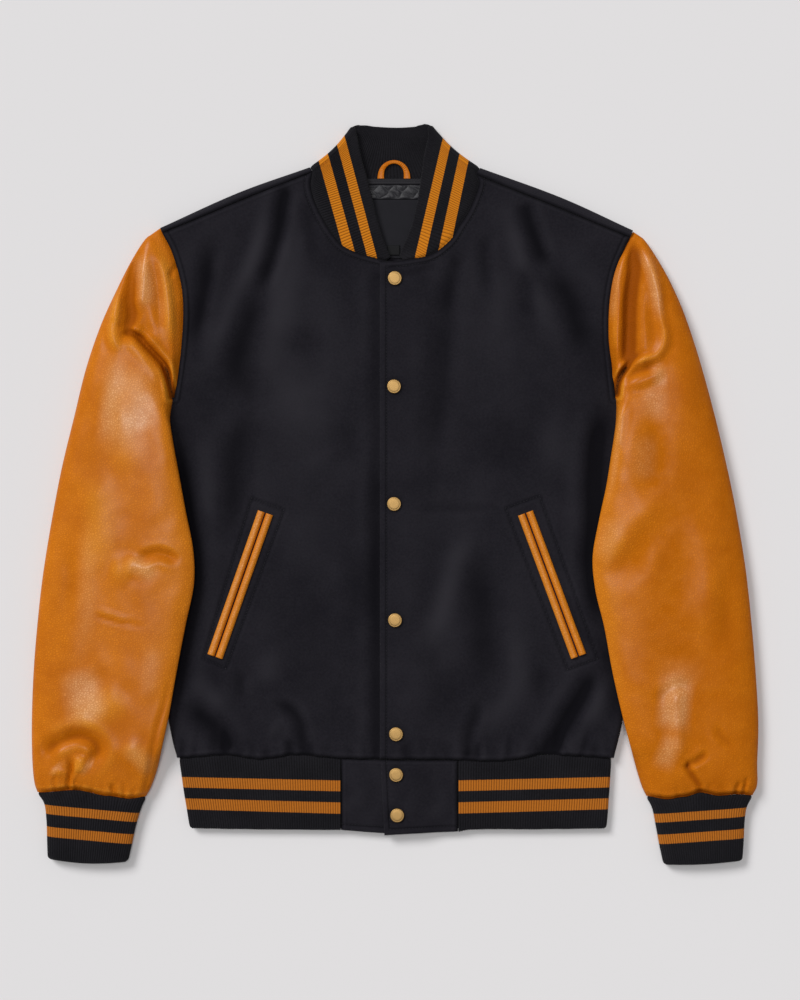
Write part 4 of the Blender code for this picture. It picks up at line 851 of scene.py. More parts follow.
def front(side):
    left = side == "left"
    bottom = lambda s: curve(hem_rows(side), s)
    top = lambda s: curve(shoulder_rows(side, GAP / 2), s)
    opening = EDGES[side, "opening"]
    start = two_part(lambda s: opening[0] + (opening[1] - opening[0]) * s[..., None],
                     lambda s: curve(neckline_rows(side), s), CORNER)
    end = two_part(lambda s: side_line(side, s, LAID / 2), lambda s: curve(armhole_rows(side), s), CORNER)

    across, up, round_neck = FRONT_CELLS
    nominal = spread(NEAR / FRONT_WIDTH, NEAR / FRONT_WIDTH, across)
    borders = bottom, top, start, end
    step = 0.01
    speed = [np.linalg.norm(coons(*borders, nominal, np.full(nominal.shape, at + step))
                            - coons(*borders, nominal, np.full(nominal.shape, at)), axis=-1) / step
             for at in (0.0, 1 - step)]
    low, high = NEAR[:, None] / speed[0], 1 - NEAR[::-1, None] / speed[1]
    rise = np.linspace(0, 1, up + 1)[1:, None] * (CORNER - low[-1]) + low[-1]
    turn = np.linspace(0, 1, round_neck + 1)[1:-1, None] * (high[0] - CORNER) + CORNER
    v = np.concatenate([low, rise, turn, high])
    width = np.linalg.norm(end(v[:, 0]) - start(v[:, 0]), axis=-1)[:, None]
    u = spread(NEAR / width, NEAR / width, across)
    flat = coons(*borders, u, v)
    x, y = flat[..., 0], flat[..., 1]
    height = front_height(side, x, y)

    skin = Skin()
    patch = skin.add(*laid(WOOL, x, y, height))
    skin.join(patch, turned=not left)
    side_rows = len(NEAR) + up
    angles = np.linspace(180, 180 - SEAM_ANGLE, SIDE_STEPS)[1:]
    edge = (x[:side_rows, -1:], y[:side_rows, -1:], height[:side_rows, -1:], angles[None], (OUTWARD[side], 0))
    roll = skin.add(*laid(WOOL, *edge))
    skin.join(np.concatenate([patch[:side_rows, -1:], roll], 1), turned=not left)
    skin.close()

    x, y = skin.outer[:, 0], skin.outer[:, 1]
    neck, armhole, hem, shoulder, open_edge = (
        to_path(x, y, EDGES[side, name])[0] for name in ("neck", "armhole", "hem", "shoulder", "opening"))
    seams = np.minimum.reduce([neck, armhole, hem, shoulder])
    raw = rounding(np.minimum(seams, open_edge), ROUND_WOOL)
    stitched = np.minimum(neck, armhole)
    if left:
        stitched = np.minimum(stitched, np.abs(open_edge - 0.6))
    box = to_path(x, y, np.array([*POCKET_BOX[side], POCKET_BOX[side][0]]))[0]
    dents = edge_relief(seams, stitched) + groove(box, 0.8)
    if left:
        dents = dents + 0.7 * around_snaps(x, y)
    # painted shade in creases and dents, painted light on ridges and in broad patches
    press = painted_fold_shading(side, x, y) + painted_dent_shading(dents)
    skin.pull(dents + 0.25 * np.exp(-(open_edge / 3.0) ** 2), raw)
    return shell("wool_front_" + side, skin, WOOL_FINISH, both(press=press))


FRONTS = {side: front(side) for side in SIDES}
measured(*FRONTS.values())

# %% [markdown]
# ## The back
#
# The back is the same melton and lies on the table. It is flat there, because the table presses it, but
# for a few slack creases. At the sides it turns up to the side seams, and over the shoulders it comes
# round to seams that sit forward of the fold, so a strip of it shows from above. The flat part is a
# coarser patch, and the turned strip a fine one that shares its edge.

# %% The back
BACK_CORNER = 6 / 14        # share of the way up where the side meets the armhole
BACK_BORDER = 900           # what that whole way counts as, in millimetres
BACK_CELLS = (60, 44, 70, 50)   # along a shoulder, along the neck, up the sides, along the armholes
BACK_NEAR = np.array([0.0, 0.3, 0.9, 1.8, 3.5])
BACK_CREASES = [
    (0.9, (10, 12), (0.3, 0.3), [(-60, 640), (-75, 560), (-62, 480)]),
    (0.8, (9, 12), (0.3, 0.3), [(80, 660), (96, 590), (120, 520)]),
    (0.8, (12, 9), (0.3, 0.3), [(-170, 420), (-150, 330), (-165, 250)]),
    (0.9, (11, 11), (0.3, 0.3), [(40, 360), (60, 280), (35, 190)]),
    (0.7, (12, 10), (0.3, 0.3), [(170, 430), (184, 350), (172, 270)]),
    (0.9, (9, 8), (0.35, 0), [(-120, 170), (-128, 114)]),
    (0.9, (8, 10), (0.35, 0), [(96, 180), (110, 114)]),
]


def back():
    shoulder, neck, up, along = BACK_CELLS
    reach = LAID / 2
    ends = [tuple(shoulder_line(side, 0.0, reach)) for side in SIDES]
    neck_rows = [ends[0], *BACK_NECK[1:-1], ends[1]]
    hem = [tuple(side_line("right", 0.0, reach)), *BACK_HEM[1:-1], tuple(side_line("left", 0.0, reach))]
    quarter, three = 0.25, 0.75

    def top(s):
        s = np.asarray(s, float)
        right = shoulder_line("right", np.clip(1 - s / quarter, 0, 1), np.full(s.shape, reach))
        middle = curve(neck_rows, np.clip((s - quarter) / (three - quarter), 0, 1))
        left = shoulder_line("left", np.clip((s - three) / quarter, 0, 1), np.full(s.shape, reach))
        return np.where((s < quarter)[..., None], right, np.where((s > three)[..., None], left, middle))

    def border(side):
        rows = [tuple(side_line(side, 1.0, reach)), *reversed(ARMHOLE[side][1:-1]),
                tuple(shoulder_line(side, 1.0, reach))]
        return two_part(lambda s: side_line(side, s, reach), lambda s: curve(rows, s), BACK_CORNER)

    u = np.concatenate([np.linspace(0, quarter, shoulder + 1), np.linspace(quarter, three, neck + 1)[1:],
                        np.linspace(three, 1, shoulder + 1)[1:]])
    near = BACK_NEAR / BACK_BORDER
    v = np.concatenate([near, np.linspace(near[-1], BACK_CORNER, up + 1)[1:],
                        np.linspace(BACK_CORNER, 1, along + 1)[1:]])
    u, v = np.broadcast_arrays(u[None], v[:, None])
    flat = coons(lambda s: curve(hem, s), top, border("right"), border("left"), u, v)
    x, y = flat[..., 0], flat[..., 1]
    inside = ease(from_edges(x, y, EDGES["right", "armhole"], EDGES["left", "armhole"]) / 30)
    slack = np.clip(waves(31, x, y, (60, 90, 140), 0.5), 0, 1)
    lift = np.clip(pressed(BACK_CREASES, x, y), 0, 1) * inside
    lift += slack * inside * ease((710 - y) / 60) * ease((y - 112) / 20)
    raised = np.array([0, 0, 1]) * lift[..., None]

    skin = Skin()
    patch = skin.add(*(face + raised for face in laid(WOOL, x, y, LAID, 0.0)))
    skin.join(patch, turned=True)
    side_rows = len(BACK_NEAR) + up
    for side, column, stretch in (("right", 0, slice(None, shoulder + 1)),
                                  ("left", -1, slice(-shoulder - 1, None))):
        fold = flat[:side_rows, column][:, None]
        height = body_height(side, fold[..., 0], fold[..., 1])
        angles = np.linspace(0, SEAM_ANGLE, SIDE_STEPS)[1:]
        roll = skin.add(*laid(WOOL, fold[..., 0], fold[..., 1], height, angles[None], (OUTWARD[side], 0)))
        strip = np.concatenate([patch[:side_rows, column][:, None], roll], 1)
        skin.join(strip, turned=side == "left")

        t = np.linspace(0, 1, shoulder + 1)
        t = t[::-1] if side == "right" else t
        first, fold = patch[-1, stretch], flat[-1, stretch]
        out = shoulder_out(side, t)
        seam = curve(shoulder_rows(side, -GAP / 2), t)
        angles = np.linspace(0, 180, 17)[1:, None]
        over = laid(WOOL, fold[None, :, 0], fold[None, :, 1], LAID, angles,
                    (out[None, :, 0], out[None, :, 1]))
        shares = np.array([0.35, 0.65, 0.82, 0.93, 1.0])[:, None, None]
        to_seam = fold[None] + (seam - fold)[None] * shares
        on_top = laid(WOOL, to_seam[..., 0], to_seam[..., 1], LAID)
        strip_over = skin.add(*(np.concatenate(faces) for faces in zip(over, on_top)))
        skin.join(np.concatenate([first[None], strip_over]), turned=True)
    skin.close()

    x, y, z = skin.outer.T
    seam = from_edges(x, y, *(curve(shoulder_rows(side, -GAP / 2), FINE) for side in SIDES))
    on_top = z > LAID * 0.6
    seam = np.where(on_top, seam, FAR)
    under = from_edges(x, y, curve(hem, FINE), curve(neck_rows, FINE),
                       *(border(side)(np.linspace(BACK_CORNER, 1, 60)) for side in SIDES))
    relief = edge_relief(seam)
    # painted shade in dents and in the creases below, painted light on the strip over the shoulders
    press = painted_dent_shading(relief) - 0.3 * on_top + pressed(BACK_CREASES, x, y) * ~on_top / 2
    skin.pull(relief, rounding(np.minimum(seam, np.where(on_top, FAR, under)), ROUND_WOOL))
    return shell("wool_back", skin, WOOL_FINISH, both(press=press))


BACK = back()
measured(BACK)

# %% [markdown]
# ## The sleeves
#
# Each sleeve is a top sleeve and an undersleeve of cowhide, sewn into a tube. Laid flat it is still round:
# hide is stiff, so it stands up between its two folds instead of closing. A table of sections across the
# arm gives its outline and height, and one shell replaces both of the CAD model's pieces. Its creases are
# broad and few. They gather at the armhole, where the arm was bent down beside the body, at the elbow,
# and at the cuff, which draws the wide sleeve in.

# %% Sections of the sleeves
# Rows: outer end x, y; inner end x, y, from the armhole to the cuff.
SLEEVE_ENDS = {
    "right": [(-249.3, 672.7, -234.1, 494.3), (-257.5, 666.8, -234.9, 490.5), (-265.7, 659.9, -236, 486.5),
              (-279.2, 638.3, -237.3, 480), (-294.9, 607.1, -237.8, 470.5), (-311.6, 569.8, -236, 458),
              (-327.1, 524.1, -232.4, 436.8), (-339.9, 472, -227, 408), (-352.7, 419.1, -220.4, 372),
              (-363.6, 362, -212.9, 333), (-372.7, 305.4, -212.2, 296.5), (-378.6, 252.9, -220.9, 254),
              (-382.6, 203.1, -230.7, 203.1), (-384.5, 151.2, -239.5, 154), (-384, 110.5, -250, 107.7),
              (-382, 88, -257.5, 84.5), (-378.8, 77, -263.9, 72.3)],
    "left": [(251.4, 669, 232.2, 494.6), (257.9, 664.6, 232.6, 491), (263.8, 659.4, 232.9, 487),
             (275.3, 642.4, 233, 480.5), (289.4, 617.4, 232.2, 470), (304.3, 583.8, 230.4, 456),
             (319.1, 539.8, 226.6, 432), (333.9, 487, 221.4, 399.5), (347.7, 430.6, 213.2, 361),
             (359.6, 373.8, 207.2, 325), (369.8, 311.9, 210.2, 290), (376.2, 252.9, 219.6, 250.8),
             (380.6, 199.9, 228.4, 203), (383.3, 150, 240.2, 152), (382.2, 108.1, 253, 106),
             (382.2, 85, 260, 83.5), (377.4, 73.6, 265, 72.8)],
}
# Rows, one for each of those: crown height; height of the ends; flatness; share of the armhole.
SLEEVE_FORM = [(11.5, 5.75, 16, 1), (14, 6.5, 12, 0.9), (18, 7.2, 8, 0.76), (20, 8, 6, 0.54),
               (23, 8.8, 4.6, 0.34), (26, 9.4, 3.8, 0.16), (28, 9.8, 3.3, 0.05), (28.5, 10, 3, 0),
               (28.5, 10, 3, 0), (28, 10, 3, 0), (27.5, 10, 3, 0), (27, 9.6, 3, 0), (26, 9.2, 3, 0),
               (25, 8.8, 3.2, 0), (23.5, 8.4, 3.8, 0), (20.5, 8, 5, 0), (16.5, 7.6, 8, 0)]
SLEEVE = {side: [(*ends, *form) for ends, form in zip(SLEEVE_ENDS[side], SLEEVE_FORM)] for side in SIDES}
UNDERSIDE_FLATNESS = 14.0
LAP_SAG = 0.7               # share of what lies under a sleeve that its crown doesn't rise with
BESIDE_BODY, BESIDE_RAMP = 34.0, 27.0       # outside the body's side: where it starts, and how wide it is
ARMPIT_Y, ARMPIT_RAMP = 492.0, 34.0
HEM_Y, HEM_RAMP, HEM_REACH = 95.0, 30.0, 2.0
BODY_CLEAR = 0.8            # between a sleeve and the body's side
CROWN_LEANS = 0.3           # share of a sleeve's width where its crown starts to rise over the body
CUFF_NEAR = 0.9             # share of the sleeve's length where the cuff seam's waves begin
# The cuff seam's waves. Rows: share from the outer end to the inner, height along the sleeve.
CUFF_SEAM = {
    "right": [(0, 0), (0.37, 4.2), (0.65, -0.5), (0.85, -2.6), (1, 0)],
    "left": [(0, 0), (0.15, 1.6), (0.32, 0.2), (0.5, 3.8), (0.64, -0.6), (0.81, -3), (1, 0)],
}


def cuff_wave(side, a):
    """The height of the cuff seam's wave at a share of the way across the sleeve."""
    shares, heights = np.array(CUFF_SEAM[side]).T
    span = np.clip(np.searchsorted(shares, a, side="right") - 1, 0, len(shares) - 2)
    t = (a - shares[span]) / (shares[span + 1] - shares[span])
    return heights[span] + (heights[span + 1] - heights[span]) * ease(t)


def resting_height(side, x, y):
    """What lies under a sleeve: the table, or the side of the body that it laps over."""
    rows = np.array(SIDE[side])
    inside = (x - np.interp(y, rows[:, 1], rows[:, 0])) * -OUTWARD[side]
    near_body = ease((inside + BESIDE_BODY) / BESIDE_RAMP)
    below_armpit = ease((ARMPIT_Y - y) / ARMPIT_RAMP)
    above_hem = np.where(inside > -HEM_REACH, 1.0, ease((y - HEM_Y) / HEM_RAMP))
    return (LAID + BODY_CLEAR) * near_body * below_armpit * above_hem


def tube(rows, shares, thetas, depth, bow, rest, folded):
    """Points of a laid tube: shares along it, and thetas round it, over the top from 0 to pi. bow gives
    sideways shifts, rest the height that it lies on, and folded the depth of creases in its crown."""
    ox, oy, ix, iy, crown, mid, flatness, bowed = (table(rows, shares)[:, None, k] for k in range(8))
    length = np.hypot(ix - ox, iy - oy)
    inside = depth / length + (1 - np.cos(thetas)) / 2 * (1 - 2 * depth / length)
    a = np.broadcast_to((1 - np.cos(thetas)) / 2, inside.shape)
    dx, dy, wave = bow(inside, shares[:, None], np.sin(thetas) > 0)
    x = ox + (ix - ox) * inside + dx * bowed
    y = oy + (iy - oy) * inside + dy * bowed + wave
    swell = np.abs(2 * a - 1)
    over, under = (np.sqrt(np.maximum(1 - swell ** power, 0)) for power in (flatness, UNDERSIDE_FLATNESS))
    lift = rest(ix, iy) * ease((a - CROWN_LEANS) / (1 - CROWN_LEANS))
    room = (crown - mid - LAP_SAG * lift) * over
    above = lift + mid + room - depth * over - folded(x, y, over, room)
    below = rest(x, y) + depth * under + mid * (1 - under)
    return np.stack([x, y, np.where(np.sin(thetas) > -1e-9, above, below)], -1), over


# %% Creases of the sleeves
SLEEVE_CREASES = {
    "right": [
        (6.8, (6, 8), (0.25, 0.15), [(-272.6, 660), (-276.8, 631.3), (-279.3, 599.5), (-280, 574.1),
            (-284.8, 561.4), (-292, 558.5)]),
        (3.4, (9, 8), (0.35, 0.3), [(-270.5, 598), (-267.8, 569.9), (-262.6, 550)]),
        (5.4, (3.4, 6.5), (0.25, 0.2), [(-293.1, 558.2), (-280.5, 560.3), (-269.9, 557.7), (-259.3, 547.1),
            (-248.7, 534.9), (-241.3, 525.3), (-236, 506.4)]),
        (-2.8, (5, 5), (0.35, 0.25), [(-291.7, 618.3), (-295.4, 581.5), (-298, 564.6), (-294.8, 550),
            (-284, 541.4)]),
        (-2.4, (6, 6), (0.3, 0.3), [(-250.3, 658.7), (-242.9, 623.9), (-239.2, 600.6), (-237.5, 578.3),
            (-236.5, 545)]),
        (2, (5, 6), (0.3, 0.3), [(-256, 643.7), (-250.3, 608), (-247.7, 560.6)]),
        (1.4, (2.4, 2.6), (0.3, 0.3), [(-238.9, 617.7), (-235.5, 627.1), (-229.2, 637.5)]),
        (3.4, (2, 3.4), (0.25, 0.2), [(-289, 560), (-277, 562.5), (-262, 547), (-246, 530.5),
            (-239.5, 517)]),
        (5.5, (3, 3), (0.3, 0), [(-246, 531), (-240.8, 518), (-238, 505), (-236, 494)]),
        (-1.4, (23, 24), (0.25, 0.25), [(-292, 534), (-282, 494), (-272, 452), (-262, 408)]),
        (-1.7, (10, 11), (0.35, 0.35), [(-302, 316), (-287, 313), (-272, 308)]),
        (-0.9, (3, 3), (0.3, 0.3), [(-316, 270), (-298, 264), (-277, 255)]),
        (-1.8, (15, 16), (0.25, 0.25), [(-338, 146), (-320, 160), (-302, 171), (-282, 184)]),
        (-1.9, (9, 9), (0.3, 0.3), [(-287, 132), (-268, 113), (-252, 95)]),
        (1.8, (12, 15), (0.35, 0.35), [(-262, 500), (-262, 456), (-252, 410)]),
        (2.8, (4.5, 5.5), (0.3, 0.3), [(-272.9, 320.8), (-258.3, 328.2), (-244.5, 329.2), (-224.5, 319.8)]),
        (-1.6, (6, 7), (0.35, 0.35), [(-284.6, 329.1), (-269.9, 315.5), (-248.9, 315)]),
        (1, (2, 2.6), (0.35, 0.35), [(-320.1, 266.6), (-290.1, 258.2), (-259.9, 252)]),
        (-1.8, (18, 15), (0.35, 0.35), [(-318, 420), (-312, 360), (-322, 300)]),
        (1.5, (12, 10), (0.4, 0.4), [(-350, 350), (-343, 300), (-352, 244)]),
        (4.6, (7.5, 5), (0.2, 0.25), [(-367.4, 112), (-363.2, 123.1), (-350.5, 131.5), (-334.1, 136.3),
            (-319.7, 132.1), (-313.9, 121.8), (-318.7, 113), (-329.2, 107)]),
        (-2.6, (5.5, 5.5), (0.3, 0.3), [(-331, 118), (-333.6, 96.1)]),
        (2.2, (9, 9), (0.4, 0.4), [(-372, 150), (-368, 122), (-366, 100)]),
        (-1.4, (4, 4), (0.3, 0.3), [(-364.6, 97.2), (-348.5, 100.9)]),
        (3.4, (2.4, 3), (0.3, 0.1), [(-342.1, 116.1), (-341.2, 102.4), (-343.6, 90.7), (-345.4, 78.1)]),
        (1.8, (2.2, 2.6), (0.4, 0.1), [(-336.7, 95.9), (-337.8, 76.1)]),
        (2, (2.6, 2.2), (0.4, 0), [(-301.7, 88.4), (-294.4, 73.9)]),
        (1, (2.6, 3.4), (0.4, 0), [(-230.7, 221.1), (-241.5, 172.4), (-249.8, 144.8), (-257.8, 107.2),
            (-264.3, 76.1)]),
    ],
    "left": [
        (7.2, (8, 6), (0.25, 0.2), [(253.2, 667.1), (250, 629.2), (246.3, 594.2), (245.2, 559.3),
            (243.1, 532.8), (234.7, 519.2)]),
        (1.2, (9, 9), (0.35, 0.35), [(266.5, 612.9), (270.7, 578.3), (269, 550)]),
        (-3.4, (5, 6), (0.25, 0.25), [(254.8, 660.8), (267.5, 638.2), (274.6, 612.3), (277.6, 580.5),
            (282.1, 561.4), (280.7, 547.6), (272.8, 537), (260.6, 532.8), (248.4, 526.4), (231.6, 510.6)]),
        (2.2, (4.5, 4), (0.3, 0.3), [(233.6, 505.4), (248.4, 519), (264.3, 524.8), (278, 531.6)]),
        (-1.9, (5, 5), (0.35, 0.35), [(237.9, 504), (260.6, 511), (274.6, 518.4), (278, 530.5)]),
        (-2, (4.5, 4.5), (0.3, 0.3), [(241.9, 648.1), (234.2, 621.8), (230, 578.3), (229.8, 548.7),
            (234.6, 523.5)]),
        (2.2, (13, 15), (0.35, 0.35), [(263, 374.2), (243.1, 321.8), (217.9, 295.6)]),
        (-1.8, (14, 12), (0.35, 0.35), [(213.4, 306.3), (248.4, 353.6), (284.2, 407.3)]),
        (3.2, (3.2, 2), (0.2, 0.35), [(236, 515.5), (244, 526.5), (256, 537), (270, 541.5)]),
        (5, (2.8, 2.8), (0.4, 0), [(252.5, 533.2), (243.1, 523.8), (235.6, 514.4), (233, 496)]),
        (-1, (20, 20), (0.35, 0.35), [(292, 545), (300, 490), (296, 430)]),
        (-2.2, (7, 8), (0.25, 0.25), [(292, 198), (296, 166), (297, 134), (299, 106)]),
        (-1.7, (5, 5), (0.3, 0.3), [(237.5, 490), (233.5, 462), (229, 432)]),
        (1.6, (13, 14), (0.35, 0.35), [(262, 480), (268, 430), (258, 380)]),
        (-1.6, (16, 18), (0.35, 0.35), [(320, 380), (330, 310), (324, 240)]),
        (1.4, (10, 12), (0.4, 0.4), [(352, 330), (346, 270), (354, 205)]),
        (2.9, (3, 3.6), (0.1, 0.1), [(304.6, 108.9), (308.8, 101.3), (314.1, 93.4), (320.3, 83.3),
            (322.1, 71.8)]),
        (2.4, (3.2, 3.6), (0.1, 0.35), [(304.6, 106.6), (315.8, 110.9), (329.9, 120.9)]),
        (1.3, (5, 6), (0.35, 0.35), [(267.7, 170.4), (288.7, 186.1), (316, 195.6)]),
        (1.9, (2.4, 2.8), (0.4, 0), [(363.4, 91.6), (358.2, 75)]),
        (1.6, (2.2, 2.4), (0.4, 0), [(370.8, 95.9), (366.6, 76.1)]),
        (1.5, (4, 5), (0.35, 0.35), [(336, 152), (345, 134), (361, 124)]),
        (1, (2.6, 3.4), (0.4, 0), [(219.5, 240), (231.5, 186), (244, 136), (256, 96), (264, 74)]),
    ],
}
# Where the hide is polished, with a painted highlight on it. Rows as for creases, with a strength in place of
# the depth.
POLISH_AND_PAINTED_HIGHLIGHTS = {
    "right": [
        (0.5, (24, 26), (0.3, 0.3), [(-284, 535), (-280, 485), (-282, 425)]),
        (0.9, (7, 9), (0.3, 0.3), [(-270, 650), (-263, 615), (-259, 582)]),
        (0.6, (9, 9), (0.3, 0.3), [(-297, 545), (-295, 520), (-297, 495), (-302, 468), (-305, 440)]),
        (0.5, (12, 12), (0.3, 0.3), [(-262, 505), (-262, 482), (-259, 456)]),
        (0.6, (10, 10), (0.3, 0.3), [(-294, 466), (-276, 470), (-260, 475)]),
        (0.8, (9, 9), (0.35, 0.35), [(-282, 325), (-264, 312), (-247, 302)]),
        (0.95, (15, 17), (0.3, 0.3), [(-335, 212), (-328, 182), (-323, 145)]),
        (0.4, (22, 22), (0.3, 0.3), [(-330, 200), (-315, 150)]),
        (0.6, (8, 8), (0.4, 0.4), [(-360, 106), (-354, 100)]),
        (0.6, (9, 9), (0.4, 0.4), [(-328, 108), (-320, 103)]),
        (0.6, (9, 9), (0.35, 0.35), [(-285, 132), (-268, 113), (-252, 95)]),
        (0.35, (10, 10), (0.35, 0.35), [(-253, 238), (-262, 168)]),
        (0.35, (9, 9), (0.35, 0.35), [(-322, 376), (-325, 290), (-327, 214)]),
        (0.3, (7, 7), (0.3, 0.3), [(-256, 650), (-246, 610), (-243, 570)]),
    ],
    "left": [
        (0.8, (7, 7), (0.35, 0.35), [(270, 530), (277, 518), (278, 500)]),
        (0.6, (4, 4), (0.3, 0.3), [(237.5, 492), (233, 450), (228, 410), (222, 380)]),
        (0.55, (10, 10), (0.35, 0.35), [(232, 372), (222, 345), (214, 316)]),
        (1.1, (10, 15), (0.35, 0.35), [(300, 206), (296, 172), (294, 138)]),
        (0.4, (20, 20), (0.35, 0.35), [(300, 225), (296, 180), (288, 130)]),
        (0.8, (10, 10), (0.35, 0.35), [(296, 143), (286, 120), (278, 98)]),
        (0.95, (4.5, 6), (0.3, 0.3), [(258, 655), (268, 630), (275, 600), (279, 570)]),
        (0.5, (12, 12), (0.35, 0.35), [(262, 508), (272, 490), (268, 465)]),
        (0.45, (3.5, 3.5), (0.3, 0.3), [(238, 640), (231, 610), (229, 570)]),
        (0.3, (12, 12), (0.35, 0.35), [(262, 460), (258, 400)]),
    ],
}
# Painted shade in the narrow opening of the fold at each armpit, where no light gets in. A row as above for
# each.
ARMPIT_WEDGE = {
    "right": (1, (3, 2.2), (0.25, 0), [(-246, 531), (-241, 519), (-237.5, 505), (-235.5, 494)]),
    "left": (1, (2.2, 3), (0.25, 0), [(247, 529), (240, 520), (235, 510), (233, 497)]),
}
WEDGE_SHADE = 3.2           # how much darker its painted shade is than a crease's
TUCKED = 1.3                # how far the leather goes under the wool
TUCK_DROP = 2.8             # how deep it lies there
GATHERS = 9                 # puckers at each side of a cuff's seam


def sleeve_seams(side):
    """The seam with the body from the shoulder's fold to the armpit, and the seam with the cuff."""
    start, end = SLEEVE[side][0][:2], SLEEVE[side][0][2:4]
    armhole = [start, *((x + OUTWARD[side] * GAP, y) for x, y in ARMHOLE[side][1:-1]), end]
    ox, oy, ix, iy = SLEEVE[side][-1][:4]
    a = np.linspace(0, 1, 60)
    cuff = np.stack([ox + (ix - ox) * a, oy + (iy - oy) * a + cuff_wave(side, a)], -1)
    return armhole, cuff


def sleeve_bow(side):
    """Bends the sleeve's first section to the armhole, and its last to the cuff's seam."""
    armhole = sleeve_seams(side)[0]
    start, end = np.array(armhole[0]), np.array(armhole[-1])

    def bow(inside, shares, above):
        off = (curve(armhole, inside) - start - (end - start) * inside[..., None]) * (shares < 0.5)[..., None]
        wave = cuff_wave(side, inside) * ease((shares - CUFF_NEAR) / (1 - CUFF_NEAR)) * above
        return off[..., 0], off[..., 1], wave
    return bow


# %% One sleeve
SLEEVE_OVER, SLEEVE_UNDER, SLEEVE_RINGS = 96, 40, 215
HIDE_SHADE = {"right": 0.0, "left": 0.42}       # how much darker each sleeve's colour is all over


def sleeve(side):
    armhole, cuff = sleeve_seams(side)
    armhole = curve(armhole, FINE)
    gathers = puckers(40 + TWIN[side], cuff[::4], GATHERS, (0.2, 1.1), (8, 26), (2.2, 4.2), -OUTWARD[side])
    creases = SLEEVE_CREASES[side] + gathers

    def folded(x, y, over, room):
        near = ease(over * 1.25)
        deep = pressed(creases, x, y) - waves(50 + TWIN[side], x, y, (31, 52, 88, 140), 0.75)
        return np.minimum(deep * near, room * 0.8)

    near_seam = np.array([0.0, 0.0025, 0.005, 0.0085, 0.013, 0.019, 0.027])
    shares = np.concatenate([near_seam, np.linspace(0.034, 0.972, SLEEVE_RINGS), 1 - near_seam[::-1]])
    over = np.linspace(0, math.pi, SLEEVE_OVER + 1)
    under = np.linspace(math.pi, math.tau, SLEEVE_UNDER + 2)[1:-1]
    thetas = np.concatenate([over, under])[None]
    rest = lambda x, y: resting_height(side, x, y)
    (outer, above), (inner, _) = (tube(SLEEVE[side], shares, thetas, depth, sleeve_bow(side), rest, folded)
                                  for depth in (0.0, LEATHER))

    top = (np.sin(thetas) > -1e-9) * above
    x, y = outer[..., 0], outer[..., 1]
    at_body, at_cuff = to_path(x, y, armhole)[0], to_path(x, y, cuff)[0]
    upper, lower = (shares < 0.3)[:, None], (shares > 0.7)[:, None]
    step = (body_height(side, x[:1], y[:1]) - LAID) * np.exp(-(at_body / 9) ** 2) * top
    tuck = np.exp(-(at_body / 2.3) ** 2) * top * upper
    curl = (2.0 * np.exp(-(at_cuff / 2.6) ** 2) - 0.5 * np.exp(-((at_cuff - 5.0) / 2.2) ** 2)) * top * lower
    down = TUCK_DROP * tuck - step * upper + curl
    lifted = (np.sin(thetas) <= -1e-9) * np.clip(waves(55 + TWIN[side], x, y, (45, 80, 120), 0.4), 0, 1)
    for face in (outer, inner):
        face[..., 0] -= TUCKED * tuck * OUTWARD[side]
        face[..., 2] += lifted - down
    # painted shade in the creases, where the hide tucks under the wool and in the cuff seam's groove, and
    # painted light on the ridges
    press = np.clip(pressed(creases, x, y) / 5.0, -1, 1) * top + 0.5 * tuck + 0.5 * curl
    # painted light along the inner side beside the body, and the whole sleeve darker by HIDE_SHADE
    beside_body = (1 - ease((np.abs(x) - 222) / 55)) * ease((530 - y) / 40)
    press += HIDE_SHADE[side] - (HIDE_SHADE[side] + 0.15) * beside_body
    # painted shade in the narrow fold at the armpit
    press += WEDGE_SHADE * pressed([ARMPIT_WEDGE[side]], x, y) * top
    # where the hide is polished: a glossier coat and a painted highlight
    shine = np.clip(pressed(POLISH_AND_PAINTED_HIGHLIGHTS[side], x, y), 0, 1) * top
    skin = grid_skin(outer, inner, turned=side == "right", ring=True)
    return shell("leather_sleeve_" + side, skin, LEATHER_FINISH, both(press=press, shine=shine))


SLEEVES = {side: sleeve(side) for side in SIDES}
measured(*SLEEVES.values())

# %% [markdown]
# ## Rib knit
#
# The collar, cuffs and waistband are a 2 by 2 rib, knitted double and folded, with two stripes knitted in.
# The ribs run across the strip, so that it stretches along its length. Their crests and furrows are real
# relief, made by one tree that moves each point of a strip along its normal by the phase of the rib at
# that point. The points also carry how far across the strip they lie, and that is where its stripes go.

# %% Knit
STRIPES = {
    "collar": ((12.2, 22.1), (33.8, 45.0), (0.68, 0.222, 0.010)),
    "waistband": ((22.0, 33.0), (44.5, 56.0), (0.50, 0.155, 0.014)),
    "cuff": ((15.9, 25.3), (38.4, 48.6), (0.50, 0.155, 0.014)),
}
RIB_WIDTH = {"collar": 2.66, "waistband": 2.73, "cuff": 2.57}       # from crest to crest
RIB_RAISED = 0.68           # from furrow to crest
STRIPE_BLUR, LOOP_PITCH = 0.35, 1.35        # half of a stripe's soft edge; one row of loops
ROUND_KNIT = 1.45           # radius of a knit edge


